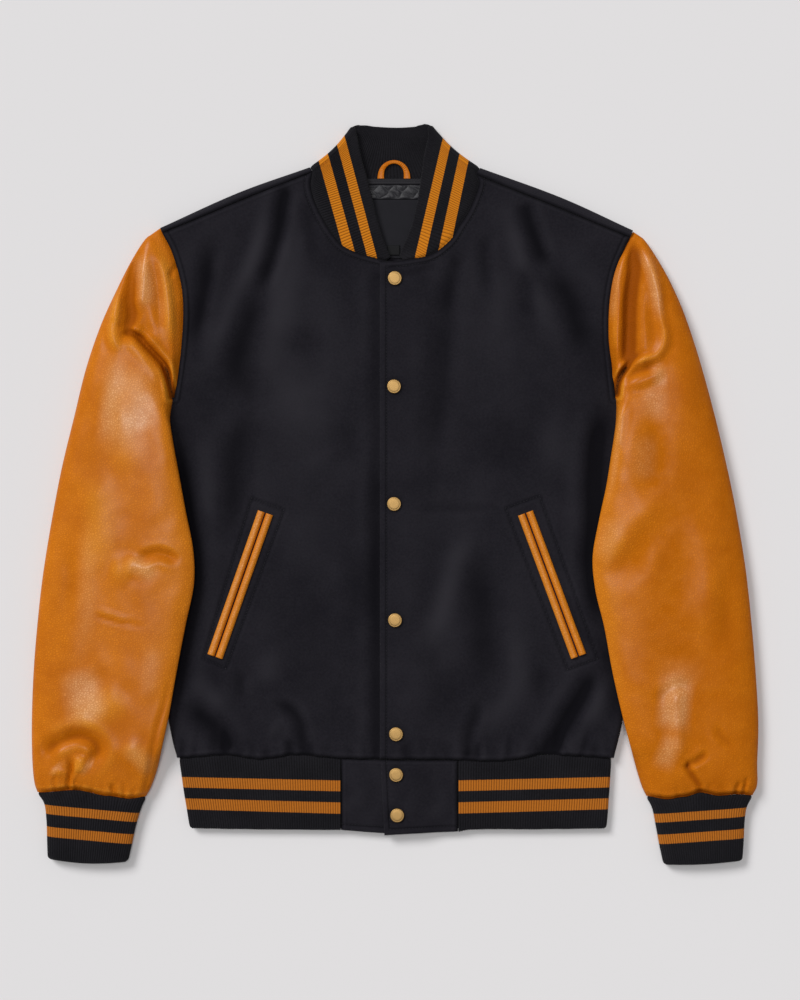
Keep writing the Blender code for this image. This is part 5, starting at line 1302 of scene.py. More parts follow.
def knit_finish(name):
    """Black knit with two stripes, which are shaded by the ribs' own relief and by painted shade in the
    furrows.
    """
    *stripes, bright = STRIPES[name]
    knit = Finish("knit_" + name, Roughness=0.92, Sheen_Weight=0.06, Sheen_Roughness=0.5,
                  Specular_IOR_Level=0.06)
    place, across, ribs = knit.place(), knit.field("across"), knit.field("rib")
    fuzz, patches = knit.noise(place, 0.0016, 3.0, 0.7), knit.noise(place, 0.03, 2.0, 0.5)
    ragged = across + (fuzz - 0.5) * 0.9
    past = lambda edge: knit.steps(ragged, edge - STRIPE_BLUR, edge + STRIPE_BLUR)
    first, second = (past(low) * (1 - past(high)) for low, high in stripes)
    crest = knit.sum("ABSOLUTE", knit.sum("SINE", ribs * math.pi))
    loops = knit.sum("SINE", across * (math.tau / LOOP_PITCH) + knit.sum("SINE", ribs * math.tau) * 0.9)
    tone = knit.steps(patches * 0.4 + fuzz * 0.6, 0.3, 0.7)
    colour = knit.layered(
        knit.mix(tone, (0.0070, 0.0066, 0.0088), (0.0138, 0.0130, 0.0161)),
        ((first + second) * knit.field("dyed"), bright),
        ((1 - knit.steps(crest, 0.0, 0.75)) * 0.48, (0.004, 0.003, 0.003)),     # painted shade in the furrows
        (fuzz * 0.16, (0.02, 0.02, 0.022)))
    normal = knit.bump(fuzz, 0.00025, 0.4, knit.bump(loops * 0.5 + 0.5, 0.00030, 0.55))
    return knit.wear(Base_Color=colour, Normal=normal)


KNIT_FINISHES = {name: knit_finish(name) for name in STRIPES}


# %% Ribs
def rib_recipe(finish):
    """Moves points along their normals to the crests and furrows of ribs."""
    ribs = Recipe("ribs", Height=RIB_RAISED * MM, Fullness=0.6)
    phase, rise, sunk = (ribs.node("GeometryNodeInputNamedAttribute", {"data_type": "FLOAT"}, {"Name": key})
                         for key in ("rib", "rise", "sunk"))
    crest = ribs.sum("ABSOLUTE", ribs.sum("SINE", phase * math.pi)) ** ribs.given("Fullness")
    normal = ribs.node("GeometryNodeInputNormal")
    offset = ribs.node("VectorMath", {"operation": "SCALE"},
                       {0: normal, "Scale": (crest - sunk) * rise * ribs.given("Height")})
    moved = ribs.node("GeometryNodeSetPosition", None, {"Geometry": ribs.given("Geometry"), "Offset": offset})
    ribs.done(moved, finish)
    return ribs


RIB_RECIPES = {name: rib_recipe(finish) for name, finish in KNIT_FINISHES.items()}


def knitted(name, kind, skin, rib, across, rise, sunk, within=0.0):
    """Closes a knit skin and grows its ribs: fully outside, and by a share of their height within."""
    rib, across, rise, sunk, within = (np.broadcast_to(values, across.shape).reshape(-1)
                                       for values in (rib, across, rise, sunk, within))
    one = np.ones(len(rise))
    fields = {**both(rib=rib, across=across), "dyed": (one, one - 1), "rise": (rise, rise * within),
              "sunk": (sunk, one)}
    return RIB_RECIPES[kind].grow(shell(name, skin, KNIT_FINISHES[kind], fields))


# %% Cuffs
# The sleeves' columns, from the gathered seam to the opening.
CUFF_ENDS = {
    "right": [(-378.5, 76.4, -264.2, 71.7), (-371, 64.9, -269.2, 61.1), (-368.6, 47, -274.6, 44),
              (-368, 27, -279, 24), (-367.4, 6.6, -283.6, 3.6)],
    "left": [(377.1, 73, 265.3, 72.2), (370.6, 61, 271.6, 60.4), (368.4, 46, 275, 45),
             (367.4, 25, 279.2, 22), (366.1, 4.6, 283.9, 0.4)],
}
CUFF_FORM = [(16.2, 7.6, 8, 0), (16, 7.6, 7, 0), (15.4, 7.4, 7, 0), (14.8, 7.2, 7, 0), (13.6, 6.8, 7, 0)]
CUFF = {side: [(*ends, *form) for ends, form in zip(CUFF_ENDS[side], CUFF_FORM)] for side in SIDES}
# The straight line that the stripes keep to: two distances from the middle, its heights there, its stretch.
CUFF_LINE = {"right": ((-368.0, -275.2), (80.0, 71.5), 1.02), "left": ((274.0, 368.5), (69.7, 76.4), 0.985)}
CUFF_LENGTH = 70.0
CUFF_BELLY = {"right": 3.4, "left": 1.6}    # how far the cuff's end bows down in its middle
CUFF_WAVED, CUFF_BELLIED = 0.25, 0.5        # shares of its length where the waves end and the bow begins
RIB_CELLS = 6                               # points to a rib


def evenly_round(rows):
    """Angles round a cuff that put its points at even steps of its own length: as many as its ribs need."""
    fine = np.linspace(0, math.tau, 4001)
    loop = tube(rows, np.array([0.5]), fine[None], 0.0, lambda a, s, up: (0 * a, 0 * a, 0 * a),
                lambda x, y: 0 * x, lambda x, y, over, room: 0 * x)[0][0]
    steps = np.concatenate([[0], np.cumsum(np.linalg.norm(np.diff(loop, axis=0), axis=1))])
    count = round(steps[-1] / RIB_WIDTH["cuff"]) * RIB_CELLS
    return np.interp(np.arange(count) / count, steps / steps[-1], fine)


def cuff(side):
    def bow(a, shares, above):
        seam = cuff_wave(side, a) * (1 - ease(shares / CUFF_WAVED)) * above
        belly = CUFF_BELLY[side] * np.sin(math.pi * a) * ease((shares - CUFF_BELLIED) / (1 - CUFF_BELLIED))
        return 0 * a, 0 * a, seam - belly

    thetas = evenly_round(CUFF[side])
    near = np.array([0.0, 0.3, 0.8, 1.5, 2.6]) / CUFF_LENGTH
    shares = np.concatenate([near, np.linspace(0.07, 0.93, 16), 1 - near[::-1]])
    dents = puckers(42 + TWIN[side], sleeve_seams(side)[1][::4], GATHERS, (0.3, 1.1), (6, 18), (2.5, 5.0),
                    OUTWARD[side])

    def folded(x, y, over, room):
        return (pressed(dents, x, y) - waves(60 + TWIN[side], x, y, (28, 47, 70), 0.5)) * ease(over)

    outer, inner = (tube(CUFF[side], shares, thetas[None], depth, bow, lambda x, y: 0 * x, folded)[0]
                    for depth in (0.0, KNIT))
    skin = grid_skin(outer, inner, turned=side == "right", ring=True)
    along = np.broadcast_to((shares * CUFF_LENGTH)[:, None], outer.shape[:2])
    low = ease(skin.outer[:, 2].reshape(along.shape) / 6.0)
    skin.pull(1.7 * np.exp(-(along / 2.4) ** 2) * low, rounding(CUFF_LENGTH - along, ROUND_KNIT))
    (x0, x1), (y0, y1), stretch = CUFF_LINE[side]
    across = (y0 + (y1 - y0) * (outer[..., 0] - x0) / (x1 - x0) - outer[..., 1]) / stretch
    rise = ease((CUFF_LENGTH - along) / 3.0) * ease(along / 4.0 + 0.35)
    rib = np.arange(len(thetas)) / RIB_CELLS
    return knitted("knit_cuff_" + side, "cuff", skin, rib, across, rise, 1 - low)


CUFFS = {side: cuff(side) for side in SIDES}
measured(*CUFFS.values())

# %% [markdown]
# ## Folded strips
#
# The collar and the waistband are each one long strip of knit. Laid flat, the strip comes from one front,
# turns over at the side or at the shoulder, and goes on below to the other front. It is a row of sections,
# each from the free edge to the seam, with a place round the fold, and a grid of points over all of them
# gives one unbroken shell, with its ribs counted along it from end to end.

# %% Strips
STRIP_NEAR = np.array([0.0, 0.25, 0.7, 1.3, 2.1, 3.2])
STRIP_ROWS = {"collar": 20, "waistband": 18}        # evenly spaced lines between those near the edges
STRIP_SEAM = 1.3            # how deep a seam pulls the knit in
FOLD_STEPS = 24             # from one layer to the other, round a fold


def part(free, seam, phi, out, height, rib, below=False, bow=(0.0, 0.0)):
    """Sections of a strip. free, seam: their ends; phi: their place round the fold; out: the fold's
    directions at both ends; bow: how far a section's middle lies beside the line between its ends."""
    count = len(free)
    return {"free": free, "seam": seam, "phi": np.broadcast_to(np.asarray(phi, float), count),
            "out": [np.broadcast_to(np.asarray(end, float), (count, 2)) for end in out],
            "bow": np.broadcast_to(np.asarray(bow, float), (count, 2)),
            "height": height, "rib": rib, "below": np.full(count, below)}


def reversed_part(one):
    """The same sections in the opposite order."""
    turned = {key: value if callable(value) else value[::-1] for key, value in one.items()}
    turned["out"] = [end[::-1] for end in one["out"]]
    return turned


def rested(obj):
    """Raises what rounding and ribs have pushed below the table."""
    for vertex in obj.data.vertices:
        vertex.co.z = max(vertex.co.z, 0.0)
    return obj


def strip(parts, rows):
    """The grid of a strip: its skin, not yet closed, and what is known at each of its points."""
    free, seam, bow = (np.concatenate([one[key] for one in parts]) for key in ("free", "seam", "bow"))
    length = np.linalg.norm(seam - free, axis=1)[:, None]
    near = np.minimum(STRIP_NEAR / length, 0.42 * STRIP_NEAR / STRIP_NEAR[-1])
    w = spread(near, near, rows)
    xy = free[:, None] + (seam - free)[:, None] * w[..., None] + bow[:, None] * np.sin(math.pi * w)[..., None]
    phi, rib, below = (np.broadcast_to(np.concatenate([one[key] for one in parts])[:, None], w.shape)
                       for key in ("phi", "rib", "below"))
    out = [np.concatenate([one["out"][end] for one in parts])[:, None] for end in (0, 1)]
    out = out[0] + (out[1] - out[0]) * w[..., None]
    stops = np.cumsum([len(one["free"]) for one in parts])[:-1]
    height = np.concatenate([one["height"](spot[..., 0], spot[..., 1], share)
                             for one, spot, share in zip(parts, np.split(xy, stops), np.split(w, stops))])
    outer, inner = laid(KNIT, xy[..., 0], xy[..., 1], height, phi, (out[..., 0], out[..., 1]))
    first = np.argmax((phi[:-1, 0] > 179) & (phi[1:, 0] > 179))
    corner, beside_it, next_one = outer[first, 0], outer[first, 1], outer[first + 1, 0]
    upward = np.cross(beside_it - corner, next_one - corner)[2] > 0
    return {"skin": grid_skin(outer, inner, turned=not upward), "w": w, "x": xy[..., 0], "y": xy[..., 1],
            "length": np.broadcast_to(length, w.shape), "phi": phi, "rib": rib, "below": below}


def finish_strip(name, kind, whole, across, from_end, seam_depth, inside=0.0, smooth_edge=0.0):
    """Rounds a strip's free edge and ends, pulls in its seam and grows its ribs."""
    skin, w, length = whole["skin"], whole["w"], whole["length"]
    plain, to_seam = w * length, (1 - w) * length
    low = np.cos(np.radians(whole["phi"])) * 0.5 + 0.5
    skin.pull(seam_depth * np.exp(-(to_seam / 2.3) ** 2) * (1 - low),
              rounding(np.minimum(plain, from_end), ROUND_KNIT))
    skin.inner[:, 2] = np.maximum(skin.inner[:, 2], 0.3)
    rise = ease(from_end / 3.0) * (0.35 + 0.65 * ease(to_seam / 5.0))
    rise = rise * (1 - smooth_edge * (1 - ease((plain - 8.0) / 5.0)))
    return rested(knitted(name, kind, skin, whole["rib"], across, rise, ease(low * 1.6),
                          whole["below"] * inside))


# %% [markdown]
# The collar stands up round the neck when the jacket is worn. Laid flat, it folds over at the shoulders,
# so its two front parts lie on top and cross over the back part. Each front part narrows to nothing at
# the front, and its ribs stay square to the free edge, which is why they fan out round the curve.

# %% The collar
# Rows: a point of the free edge and the point of the neck seam across from it, from the fold on.
COLLAR_RIBS = {
    "right": [(-46.3, 781.3, -91.2, 737.6), (-40.4, 768, -91.4, 730.5), (-36.6, 748.5, -90.7, 720.4),
              (-31.4, 729.9, -88.9, 708), (-26.1, 709.8, -82.3, 691.5), (-20.3, 684.3, -67, 667.2),
              (-14.5, 665.3, -48.6, 650.2), (-8.1, 648.3, -26, 643), (-5.2, 642, -10.4, 638.8)],
    "left": [(37.5, 782.7, 89.4, 736.9), (34.3, 768, 89.3, 728.9), (30.6, 752.3, 87.8, 718.4),
             (27.9, 733.1, 83.2, 703.5), (24.9, 711, 75.2, 686.5), (18.9, 682.2, 63.9, 669),
             (13.1, 665.3, 44, 648.6), (6.7, 650.4, 25, 641.6), (4.1, 643.6, 8.9, 638.8)],
}
COLLAR_BACK_TOP = [(-31, 782.3), (-21.9, 781), (1.4, 779.9), (20.5, 781), (24, 782.2)]
FOLD_BOW, BOW_EASE = 3.4, 34.0      # how far the fold lies inside its chord, and where that ends beside it
FOLD_CORNER = 6.8           # how far the free edge runs on past the fold's end before it turns back
# On the fronts the stripes run straight from the fold to the neck seam: their innermost and outermost edge.
STRIPE_LINES = {
    "right": (((-53.7, 768.9), (-20.2, 643.2)), ((-80.6, 741.4), (-56.6, 655.3))),
    "left": (((50.2, 769.3), (20.5, 642.1)), ((76.9, 743.5), (58.4, 655.5))),
}
COLLAR_ROUND = 2.5          # radius of the corners at the fold
COLLAR_BACK_RIBS = 46
STRIPE_EASE = 30.0          # how soon they find their distance from the edge again behind the fold


def beyond(x, y, start, end):
    """How far points lie to the right of the line from start to end."""
    (x0, y0), (x1, y1) = start, end
    return ((y1 - y0) * (x - x0) - (x1 - x0) * (y - y0)) / math.hypot(x1 - x0, y1 - y0)


def collar():
    fold, corner = {}, {}
    for side, turn in OUTWARD.items():
        top, shoulder = np.array(COLLAR_RIBS[side][0][:2]), np.array(SHOULDER[side][0])
        along = shoulder - top
        free_out = np.array([-along[1], along[0]]) / np.linalg.norm(along)
        free_out = free_out if free_out[0] * turn > 0 else -free_out
        seam_out = shoulder_out(side, 0.0)
        axis = shoulder - seam_out * LAID / 2
        fold[side] = (top - free_out * COLLAR_LAID / 2,
                      axis + np.array([-seam_out[1], seam_out[0]]) * turn * GAP, (free_out, seam_out))
        corner[side] = fold[side][0] - along / np.linalg.norm(along) * FOLD_CORNER

    def front_part(side):
        free_at, seam_at, outs = fold[side]
        pairs = np.array(COLLAR_RIBS[side])
        free_rows = np.concatenate([[free_at], pairs[1:, :2]])
        free_path = curve(free_rows, FINE)
        neck = EDGES[side, "neck"][::-1]
        knots_free = to_path(pairs[:, 0], pairs[:, 1], free_path)[2]
        knots_seam = to_path(pairs[:, 2], pairs[:, 3], neck)[2]
        knots_free[0] = knots_seam[0] = 0.0
        knots_free[-1] = 1.0
        ribs = round(length_of(free_path) / RIB_WIDTH["collar"])
        t = np.linspace(0, 1, ribs * RIB_CELLS + 1)
        free = curve(free_rows, t)
        reach = hermite(knots_seam[:, None], knots_free, t)[:, 0]
        seam = hermite(neck, np.linspace(0, 1, len(neck)), reach)
        towards = free - seam
        seam = seam + towards / np.linalg.norm(towards, axis=1, keepdims=True) * GAP
        blend = ease(t * ribs / 5.0)[:, None]
        seam = seam_at * (1 - blend) + seam * blend

        def height(x, y, w):
            lift = waves(70 + TWIN[side], x, y, (34, 55, 80), 0.45) * np.sin(math.pi * w)
            return COLLAR_LAID + (front_height(side, x, y) - COLLAR_LAID) * ease(w) + lift
        length = length_of(free_path)
        bow = -outs[0] * FOLD_BOW * (1 - ease(t * length / BOW_EASE))[:, None]
        return part(free, seam, 180.0, outs, height, t * ribs, bow=bow), (1 - t) * length

    def turn_part(side):
        free_at, seam_at, outs = fold[side]
        angles = np.linspace(180, 0, FOLD_STEPS + 1)[1:-1]
        ribs = math.pi * COLLAR_LAID / 2 / RIB_WIDTH["collar"]
        height = lambda x, y, w: COLLAR_LAID + (LAID - COLLAR_LAID) * ease(w)
        inwards = (seam_at - free_at) / np.linalg.norm(seam_at - free_at)
        rounded = rounding(COLLAR_LAID / 2 * (1 - np.sin(np.radians(angles))), COLLAR_ROUND)[:, None]
        free = free_at + (corner[side] - free_at) * ease(1 - angles / 90)[:, None] + inwards * rounded
        return part(free, np.repeat(seam_at[None], len(angles), 0), angles, outs, height,
                    -ribs * (1 - angles / 180), bow=-outs[0] * FOLD_BOW)

    (front_right, right_end), (front_left, left_end) = (front_part(side) for side in SIDES)
    turn_right, turn_left = (turn_part(side) for side in SIDES)
    back_free = [corner["right"], *COLLAR_BACK_TOP, corner["left"]]
    back_seam = [fold["right"][1], *((x, y + GAP) for x, y in BACK_NECK[1:-1]), fold["left"][1]]
    t = np.linspace(0, 1, COLLAR_BACK_RIBS * RIB_CELLS + 1)
    back_length = length_of(curve(back_free, FINE))
    from_fold = {"right": t * back_length, "left": (1 - t) * back_length}
    level = lambda x, y, w: np.full(np.shape(w), COLLAR_LAID)
    bow = sum(-fold[side][2][0] * FOLD_BOW * (1 - ease(from_fold[side] / BOW_EASE))[:, None]
              for side in SIDES)
    back_part = part(curve(back_free, t), curve(back_seam, t), 0.0, ((0, 1), (0, 1)), level,
                     t * COLLAR_BACK_RIBS, below=True, bow=bow)

    parts = [reversed_part(front_right), turn_right, back_part, reversed_part(turn_left), front_left]
    whole = strip(parts, STRIP_ROWS["collar"])
    no_end = np.full(sum(len(one["free"]) for one in parts[1:4]), FAR)
    from_end = np.concatenate([right_end[::-1], no_end, left_end])[:, None]

    starts = np.cumsum([0] + [len(one["free"]) for one in parts])
    across = whole["w"] * whole["length"]
    plain_back = across[starts[2]:starts[3]].copy()
    places = whole["skin"].outer.reshape(*across.shape, 3)
    phi = whole["phi"][:, 0]
    first, last = STRIPES["collar"][0][0], STRIPES["collar"][1][1]
    for side, own, round_fold in (("right", 0, 1), ("left", 4, 3)):
        turning = np.arange(starts[round_fold], starts[round_fold + 1])
        seen = np.concatenate([np.arange(starts[own], starts[own + 1]), turning[phi[turning] >= 90]])
        inmost, outmost = (beyond(places[seen, :, 0], places[seen, :, 1], *line) * -OUTWARD[side]
                           for line in STRIPE_LINES[side])
        across[seen] = first + (last - first) * inmost / (inmost - outmost)
        fold_row = seen[np.argmin(phi[seen])]
        across[turning[phi[turning] < 90]] = across[fold_row]
        near = 1 - ease(from_fold[side] / STRIPE_EASE)
        across[starts[2]:starts[3]] += (across[fold_row] - plain_back) * near[:, None]
    return finish_strip("knit_collar", "collar", whole, across, from_end, STRIP_SEAM, 0.75, 0.7)


COLLAR = collar()
measured(COLLAR)

# %% [markdown]
# The waistband holds the body in, so the wool above it is gathered and the ribs below it run almost
# straight. It ends at the wool tabs on both sides of the opening.

# %% The waistband
BAND_LOWER = {
    "right": [(-57.9, 37), (-109, 37.4), (-154.4, 37.7), (-218.4, 38.8)],
    "left": [(66.1, 35.2), (78.8, 37.4), (150, 37.7), (223.5, 38.6)],
}
BAND_FOLD = {
    "right": [(-231.8, 112.6), (-227.1, 93.9), (-222.8, 65.7), (-218.4, 38.8)],
    "left": [(230.9, 111.8), (227.5, 92.9), (225.2, 71.1), (223.5, 38.6)],
}
BAND_BACK_LOWER = [(-218.4, 38.8), (-80, 37.6), (80, 37.6), (223.5, 38.6)]
BACK_RIB_CELLS = 4          # points to a rib below, where nobody looks
BAND_DROP, BAND_CROWN = 0.9, 0.15           # how far its edges drop, and how much less the upper one does
BAND_ROUND = 3.5            # radius of the lower corners at the folds
BAND_STEP, BAND_STEP_EASE = 2.2, 12.0       # how far the wool bulges over the band's folds
# The straight line that the stripes keep to: distances from the middle, its heights there, and its stretch.
STRIPE_LINE = ((60.0, 226.0), (111.7, 114.8), (1.03, 1.0))


def band_height(x, y, w):
    """The upper layer's height: a little lower at its edges, with the slight waves of gathered knit."""
    ripple = waves(81, x, y, (23, 41, 66), 0.45) * np.sin(math.pi * np.clip(w, 0, 1)) ** 0.5
    return BAND_LAID - BAND_DROP * (1 - np.sin(math.pi * (BAND_CROWN + (1 - BAND_CROWN) * w))) + ripple


def waistband():
    radius = BAND_LAID / 2
    parts, turns = {}, {}
    for side, sign in OUTWARD.items():
        start_x = BAND_LOWER[side][0][0] + sign * GAP
        end_x = BAND_FOLD[side][0][0] - sign * radius
        ribs = round(abs(end_x - start_x) / RIB_WIDTH["waistband"])
        t = np.linspace(0, 1, ribs * RIB_CELLS + 1)
        x = start_x + (end_x - start_x) * t
        hem = EDGES[side, "hem"]
        order = np.argsort(hem[:, 0])
        seam = np.stack([x, np.interp(x, hem[order, 0], hem[order, 1]) - GAP], -1)
        seam[:, 0] -= sign * BAND_STEP * (1 - ease(np.abs(end_x - x) / BAND_STEP_EASE))
        corner = (BAND_FOLD[side][-1][0] - sign * radius, BAND_FOLD[side][-1][1])
        free = curve([(start_x, BAND_LOWER[side][0][1]), *BAND_LOWER[side][1:-1], corner], t)
        out = ((sign, 0), (sign, 0))
        parts[side] = part(free, seam, 180.0, out, band_height, t * ribs)
        angles = np.linspace(180, 0, FOLD_STEPS + 1)[1:-1]
        extra = math.pi * radius / RIB_WIDTH["waistband"]
        raised = rounding(radius * (1 - np.sin(np.radians(angles))), BAND_ROUND)
        round_corner = free[-1] + np.stack([0 * raised, raised], -1)
        turns[side] = part(round_corner, np.repeat(seam[-1:], len(angles), 0), angles, out,
                           band_height, ribs + extra * (1 - angles / 180))
    back_ribs = round(length_of(curve(BAND_BACK_LOWER, FINE)) / RIB_WIDTH["waistband"])
    t = np.linspace(0, 1, back_ribs * BACK_RIB_CELLS + 1)
    first, last = (tuple(side_line(side, 0.0, LAID / 2)) for side in SIDES)
    seam = curve([first, *BACK_HEM[1:-1], last], t) - np.array([0, GAP])
    seam[0], seam[-1] = parts["right"]["seam"][-1], parts["left"]["seam"][-1]
    free = curve([parts["right"]["free"][-1], *BAND_BACK_LOWER[1:-1], parts["left"]["free"][-1]], t)
    level = lambda x, y, w: np.full(np.shape(w), BAND_LAID)
    below = part(free, seam, 0.0, ((0, 0), (0, 0)), level, t * back_ribs, below=True)

    whole = strip([parts["right"], turns["right"], below, reversed_part(turns["left"]),
                   reversed_part(parts["left"])], STRIP_ROWS["waistband"])
    out_x = np.where(whole["below"] > 0, STRIPE_LINE[0][1], np.abs(whole["x"]))
    line, stretch = (np.interp(out_x, STRIPE_LINE[0], ends) for ends in STRIPE_LINE[1:])
    across = (line - whole["y"]) / stretch
    return finish_strip("knit_waistband", "waistband", whole, across, FAR, STRIP_SEAM)


WAISTBAND = waistband()
measured(WAISTBAND)

# %% The tabs
TAB_SIZE = 78.0             # nearly square
# Rows: x, y at the seam, x, y at the lower edge.
TAB = {
    "right": [(15.2, 111.4, 15.2, 33), (-17, 111.4, -16.6, 33.5), (-57.6, 112.4, -57.6, 36.7)],
    "left": [(-15.9, 111.4, -11.8, 31.4), (20, 111.1, 22, 33.2), (65.8, 110.7, 65.8, 35)],
}


def tab(side):
    left = side == "left"
    across, up = (spread(NEAR / TAB_SIZE, NEAR / TAB_SIZE, count) for count in (28, 22))
    rows = table(TAB[side], across)[None]
    seam, low = rows[..., :2] - np.array([0, GAP / 2]), rows[..., 2:]
    xy = low + (seam - low) * up[:, None, None]
    x, y = xy[..., 0], xy[..., 1]
    height = BAND_LAID + waves(93 - TWIN[side], x, y, (26, 44, 70), 0.3) - 0.4
    if left:
        height = height + (KNIT + LAP_AIR) * lapped(x) + 0.2
    skin = grid_skin(*laid(KNIT, x, y, height), turned=not left)
    from_open, from_band = across[None] * TAB_SIZE + 0 * x, (1 - across[None]) * TAB_SIZE + 0 * x
    from_low, from_seam = up[:, None] * TAB_SIZE + 0 * x, (1 - up[:, None]) * TAB_SIZE + 0 * x
    relief = edge_relief(np.minimum(from_seam, from_band), np.minimum(from_open - 0.4, from_low))
    if left:
        relief = relief + 0.6 * around_snaps(x, y)
    # painted shade in the dents of seams, stitches and snaps, over an uneven tone
    press = painted_dent_shading(relief) + 0.2 * waves(93, x, y, (30, 52), 1.0)
    skin.pull(relief, rounding(np.minimum.reduce([from_open, from_low, from_band, from_seam]), 1.3))
    return shell("wool_tab_" + side, skin, WOOL_FINISH, both(press=press))


TABS = {side: tab(side) for side in SIDES}
measured(*TABS.values())

# %% [markdown]
# ## Trims
#
# The pockets are slits between two leather welts: a strip of hide is folded over a cord, so that each welt
# is round, and the wool is stitched down in a box around them. Everything that lies on a panel takes its
# height from the panel's finished surface, so nothing floats or sinks where a crease runs under it.

# %% Surfaces to lie on
def surface_of(*objects):
    """A search tree over finished pieces."""
    points, faces = [], []
    for obj in objects:
        first = len(points)
        points.extend(vertex.co.copy() for vertex in obj.data.vertices)
        faces.extend([first + index for index in face.vertices] for face in obj.data.polygons)
    return BVHTree.FromPolygons(points, faces)


def top_of(tree, x, y):
    """Heights of a surface, in millimetres, under points given in millimetres."""
    result = np.zeros(np.shape(x))
    for index in np.ndindex(result.shape):
        start = Vector((x[index] * MM, (y[index] - LENGTH / 2) * MM, 0.1))
        hit = tree.ray_cast(start, Vector((0, 0, -1)))[0]
        result[index] = hit.z / MM if hit else 0.0
    return result


def pad(name, x, y, low, high, finish, fields=None):
    """A piece between two heights over a grid of points."""
    turning = (x[0, 1] - x[0, 0]) * (y[1, 0] - y[0, 0]) - (y[0, 1] - y[0, 0]) * (x[1, 0] - x[0, 0])
    skin = grid_skin(np.stack([x, y, high], -1), np.stack([x, y, low], -1), turned=turning < 0)
    return shell(name, skin, finish, fields)


# %% Pocket welts
POCKET = {                  # ends of the slit
    "right": ((-137.4, 372.0), (-190.8, 220.0)),
    "left": ((137.0, 371.6), (193.2, 220.4)),
}
WELT_LENGTH, WELT_WIDTH, WELT_RISE = 161, 8.4, 2.3
WELT_LINES = np.array([0, 0.03, 0.08, 0.15, 0.25, 0.36, 0.48, 0.6, 0.71, 0.81, 0.89, 0.95, 0.985, 1])
# strength of the painted highlight on each side's welts
WELT_PAINTED_HIGHLIGHT = {"right": 1.2, "left": 0.7}
SLIT = 1.3                  # between the two welts


def pocket_welts(side):
    top, low = (np.array(end) for end in POCKET[side])
    along = (low - top) / np.linalg.norm(low - top)
    across = np.array([-along[1], along[0]])
    across = across if across[0] > 0 else -across
    tree = surface_of(FRONTS[side])
    result = {}
    near = np.array([0, 0.2, 0.5, 1.0, 1.8]) / WELT_LENGTH
    u, v = np.meshgrid(WELT_LINES, spread(near, near, 70))
    for which, turn, seed in (("outer", OUTWARD[side], 101), ("inner", -OUTWARD[side], 102)):
        distance = turn * (SLIT / 2 + u * (WELT_WIDTH - SLIT / 2))
        spot = top + (low - top) * v[..., None] + across * distance[..., None]
        x, y = spot[..., 0], spot[..., 1]
        base = top_of(tree, x, y)
        dome = (1 - np.abs(2 * u - 1) ** 2.3) ** 0.62
        bumps = 1 + 0.10 * waves(seed, x, y, (7, 13, 24), 1.0)
        high = base + 0.75 + WELT_RISE * dome * bumps - rounding(np.minimum(v, 1 - v) * WELT_LENGTH, 1.0)
        # painted shade towards the slit, and painted light over the rest of the welt
        press = 0.45 * (1 - dome) * (u < 0.5) - 0.26
        lit, crown = (1, 0.62) if turn < 0 else (0.55, 0.40)        # painted highlight: stronger on the one that faces the light
        lit *= WELT_PAINTED_HIGHLIGHT[side]
        shine = 0.42 * lit * np.exp(-((u - crown) / 0.24) ** 2) * bumps
        result[which] = pad(f"leather_welt_{side}_{which}", x, y, base + 0.15, high, LEATHER_FINISH,
                            both(press=press, shine=shine))
    return result


WELTS = {side: pocket_welts(side) for side in SIDES}

# %% [markdown]
# A snap's cap is pressed from brass sheet: a low dome with a rolled rim, turned here from one profile. The
# seven caps lie on the upper front and on its tab, a little sunk in the nap.

# %% Snaps
# Rows: share of the radius, height. From the middle of the dome round the rim to the underside.
SNAP_PROFILE = [(0, 2.3), (0.22, 2.3), (0.45, 2.28), (0.66, 2.22), (0.77, 2.06), (0.83, 2), (0.88, 2.04),
                (0.94, 1.92), (0.985, 1.52), (1, 1.05), (0.99, 0.55), (0.95, 0.15), (0.88, 0), (0.45, 0),
                (0, 0)]
SNAP_STEPS = 56


def brass_finish():
    brass = Finish("brass", Metallic=1.0, Specular_IOR_Level=0.5)
    place = brass.place()
    worn, fine = brass.noise(place, 0.004, 3.0, 0.6), brass.noise(place, 0.0005, 2.0, 0.6)
    colour = brass.mix(worn, (0.350, 0.212, 0.076), (0.415, 0.258, 0.097))
    return brass.wear(Base_Color=colour, Roughness=0.44 + 0.08 * worn, Normal=brass.bump(fine, 0.00004, 0.4))


BRASS_FINISH = brass_finish()


def snap(number, x, y, tree):
    """A cap that rests on the highest cloth under its rim and its middle."""
    ring = np.append(np.linspace(0, math.tau, 13), 0)
    reach = SNAP_RADIUS * np.append(np.ones(13), 0)
    seat = top_of(tree, x + reach * np.cos(ring), y + reach * np.sin(ring)).max()
    profile = hermite(SNAP_PROFILE, np.linspace(0, 1, len(SNAP_PROFILE)), np.linspace(0, 1, 43))
    profile[:, 0] = np.clip(profile[:, 0], 0, 1)
    radii, heights = profile[1:-1, 0, None] * SNAP_RADIUS, profile[1:-1, 1, None]
    turn = np.arange(SNAP_STEPS) * math.tau / SNAP_STEPS
    rings = np.broadcast_arrays(x + radii * np.cos(turn), y + radii * np.sin(turn), seat + heights)
    rings = np.stack(rings, -1)
    poles = [[x, y, seat + profile[0, 1]], [x, y, seat + profile[-1, 1]]]
    points = np.concatenate([rings.reshape(-1, 3), poles])
    here = np.arange(rings[..., 0].size).reshape(-1, SNAP_STEPS)
    after = np.roll(here, -1, axis=1)
    faces = np.stack([here[:-1], here[1:], after[1:], after[:-1]], -1).reshape(-1, 4).tolist()
    for k in range(SNAP_STEPS):
        faces.append((len(points) - 2, here[0, k], after[0, k]))
        faces.append((len(points) - 1, after[-1, k], here[-1, k]))
    return mesh_object(f"brass_snap_{number}", points, faces, BRASS_FINISH)


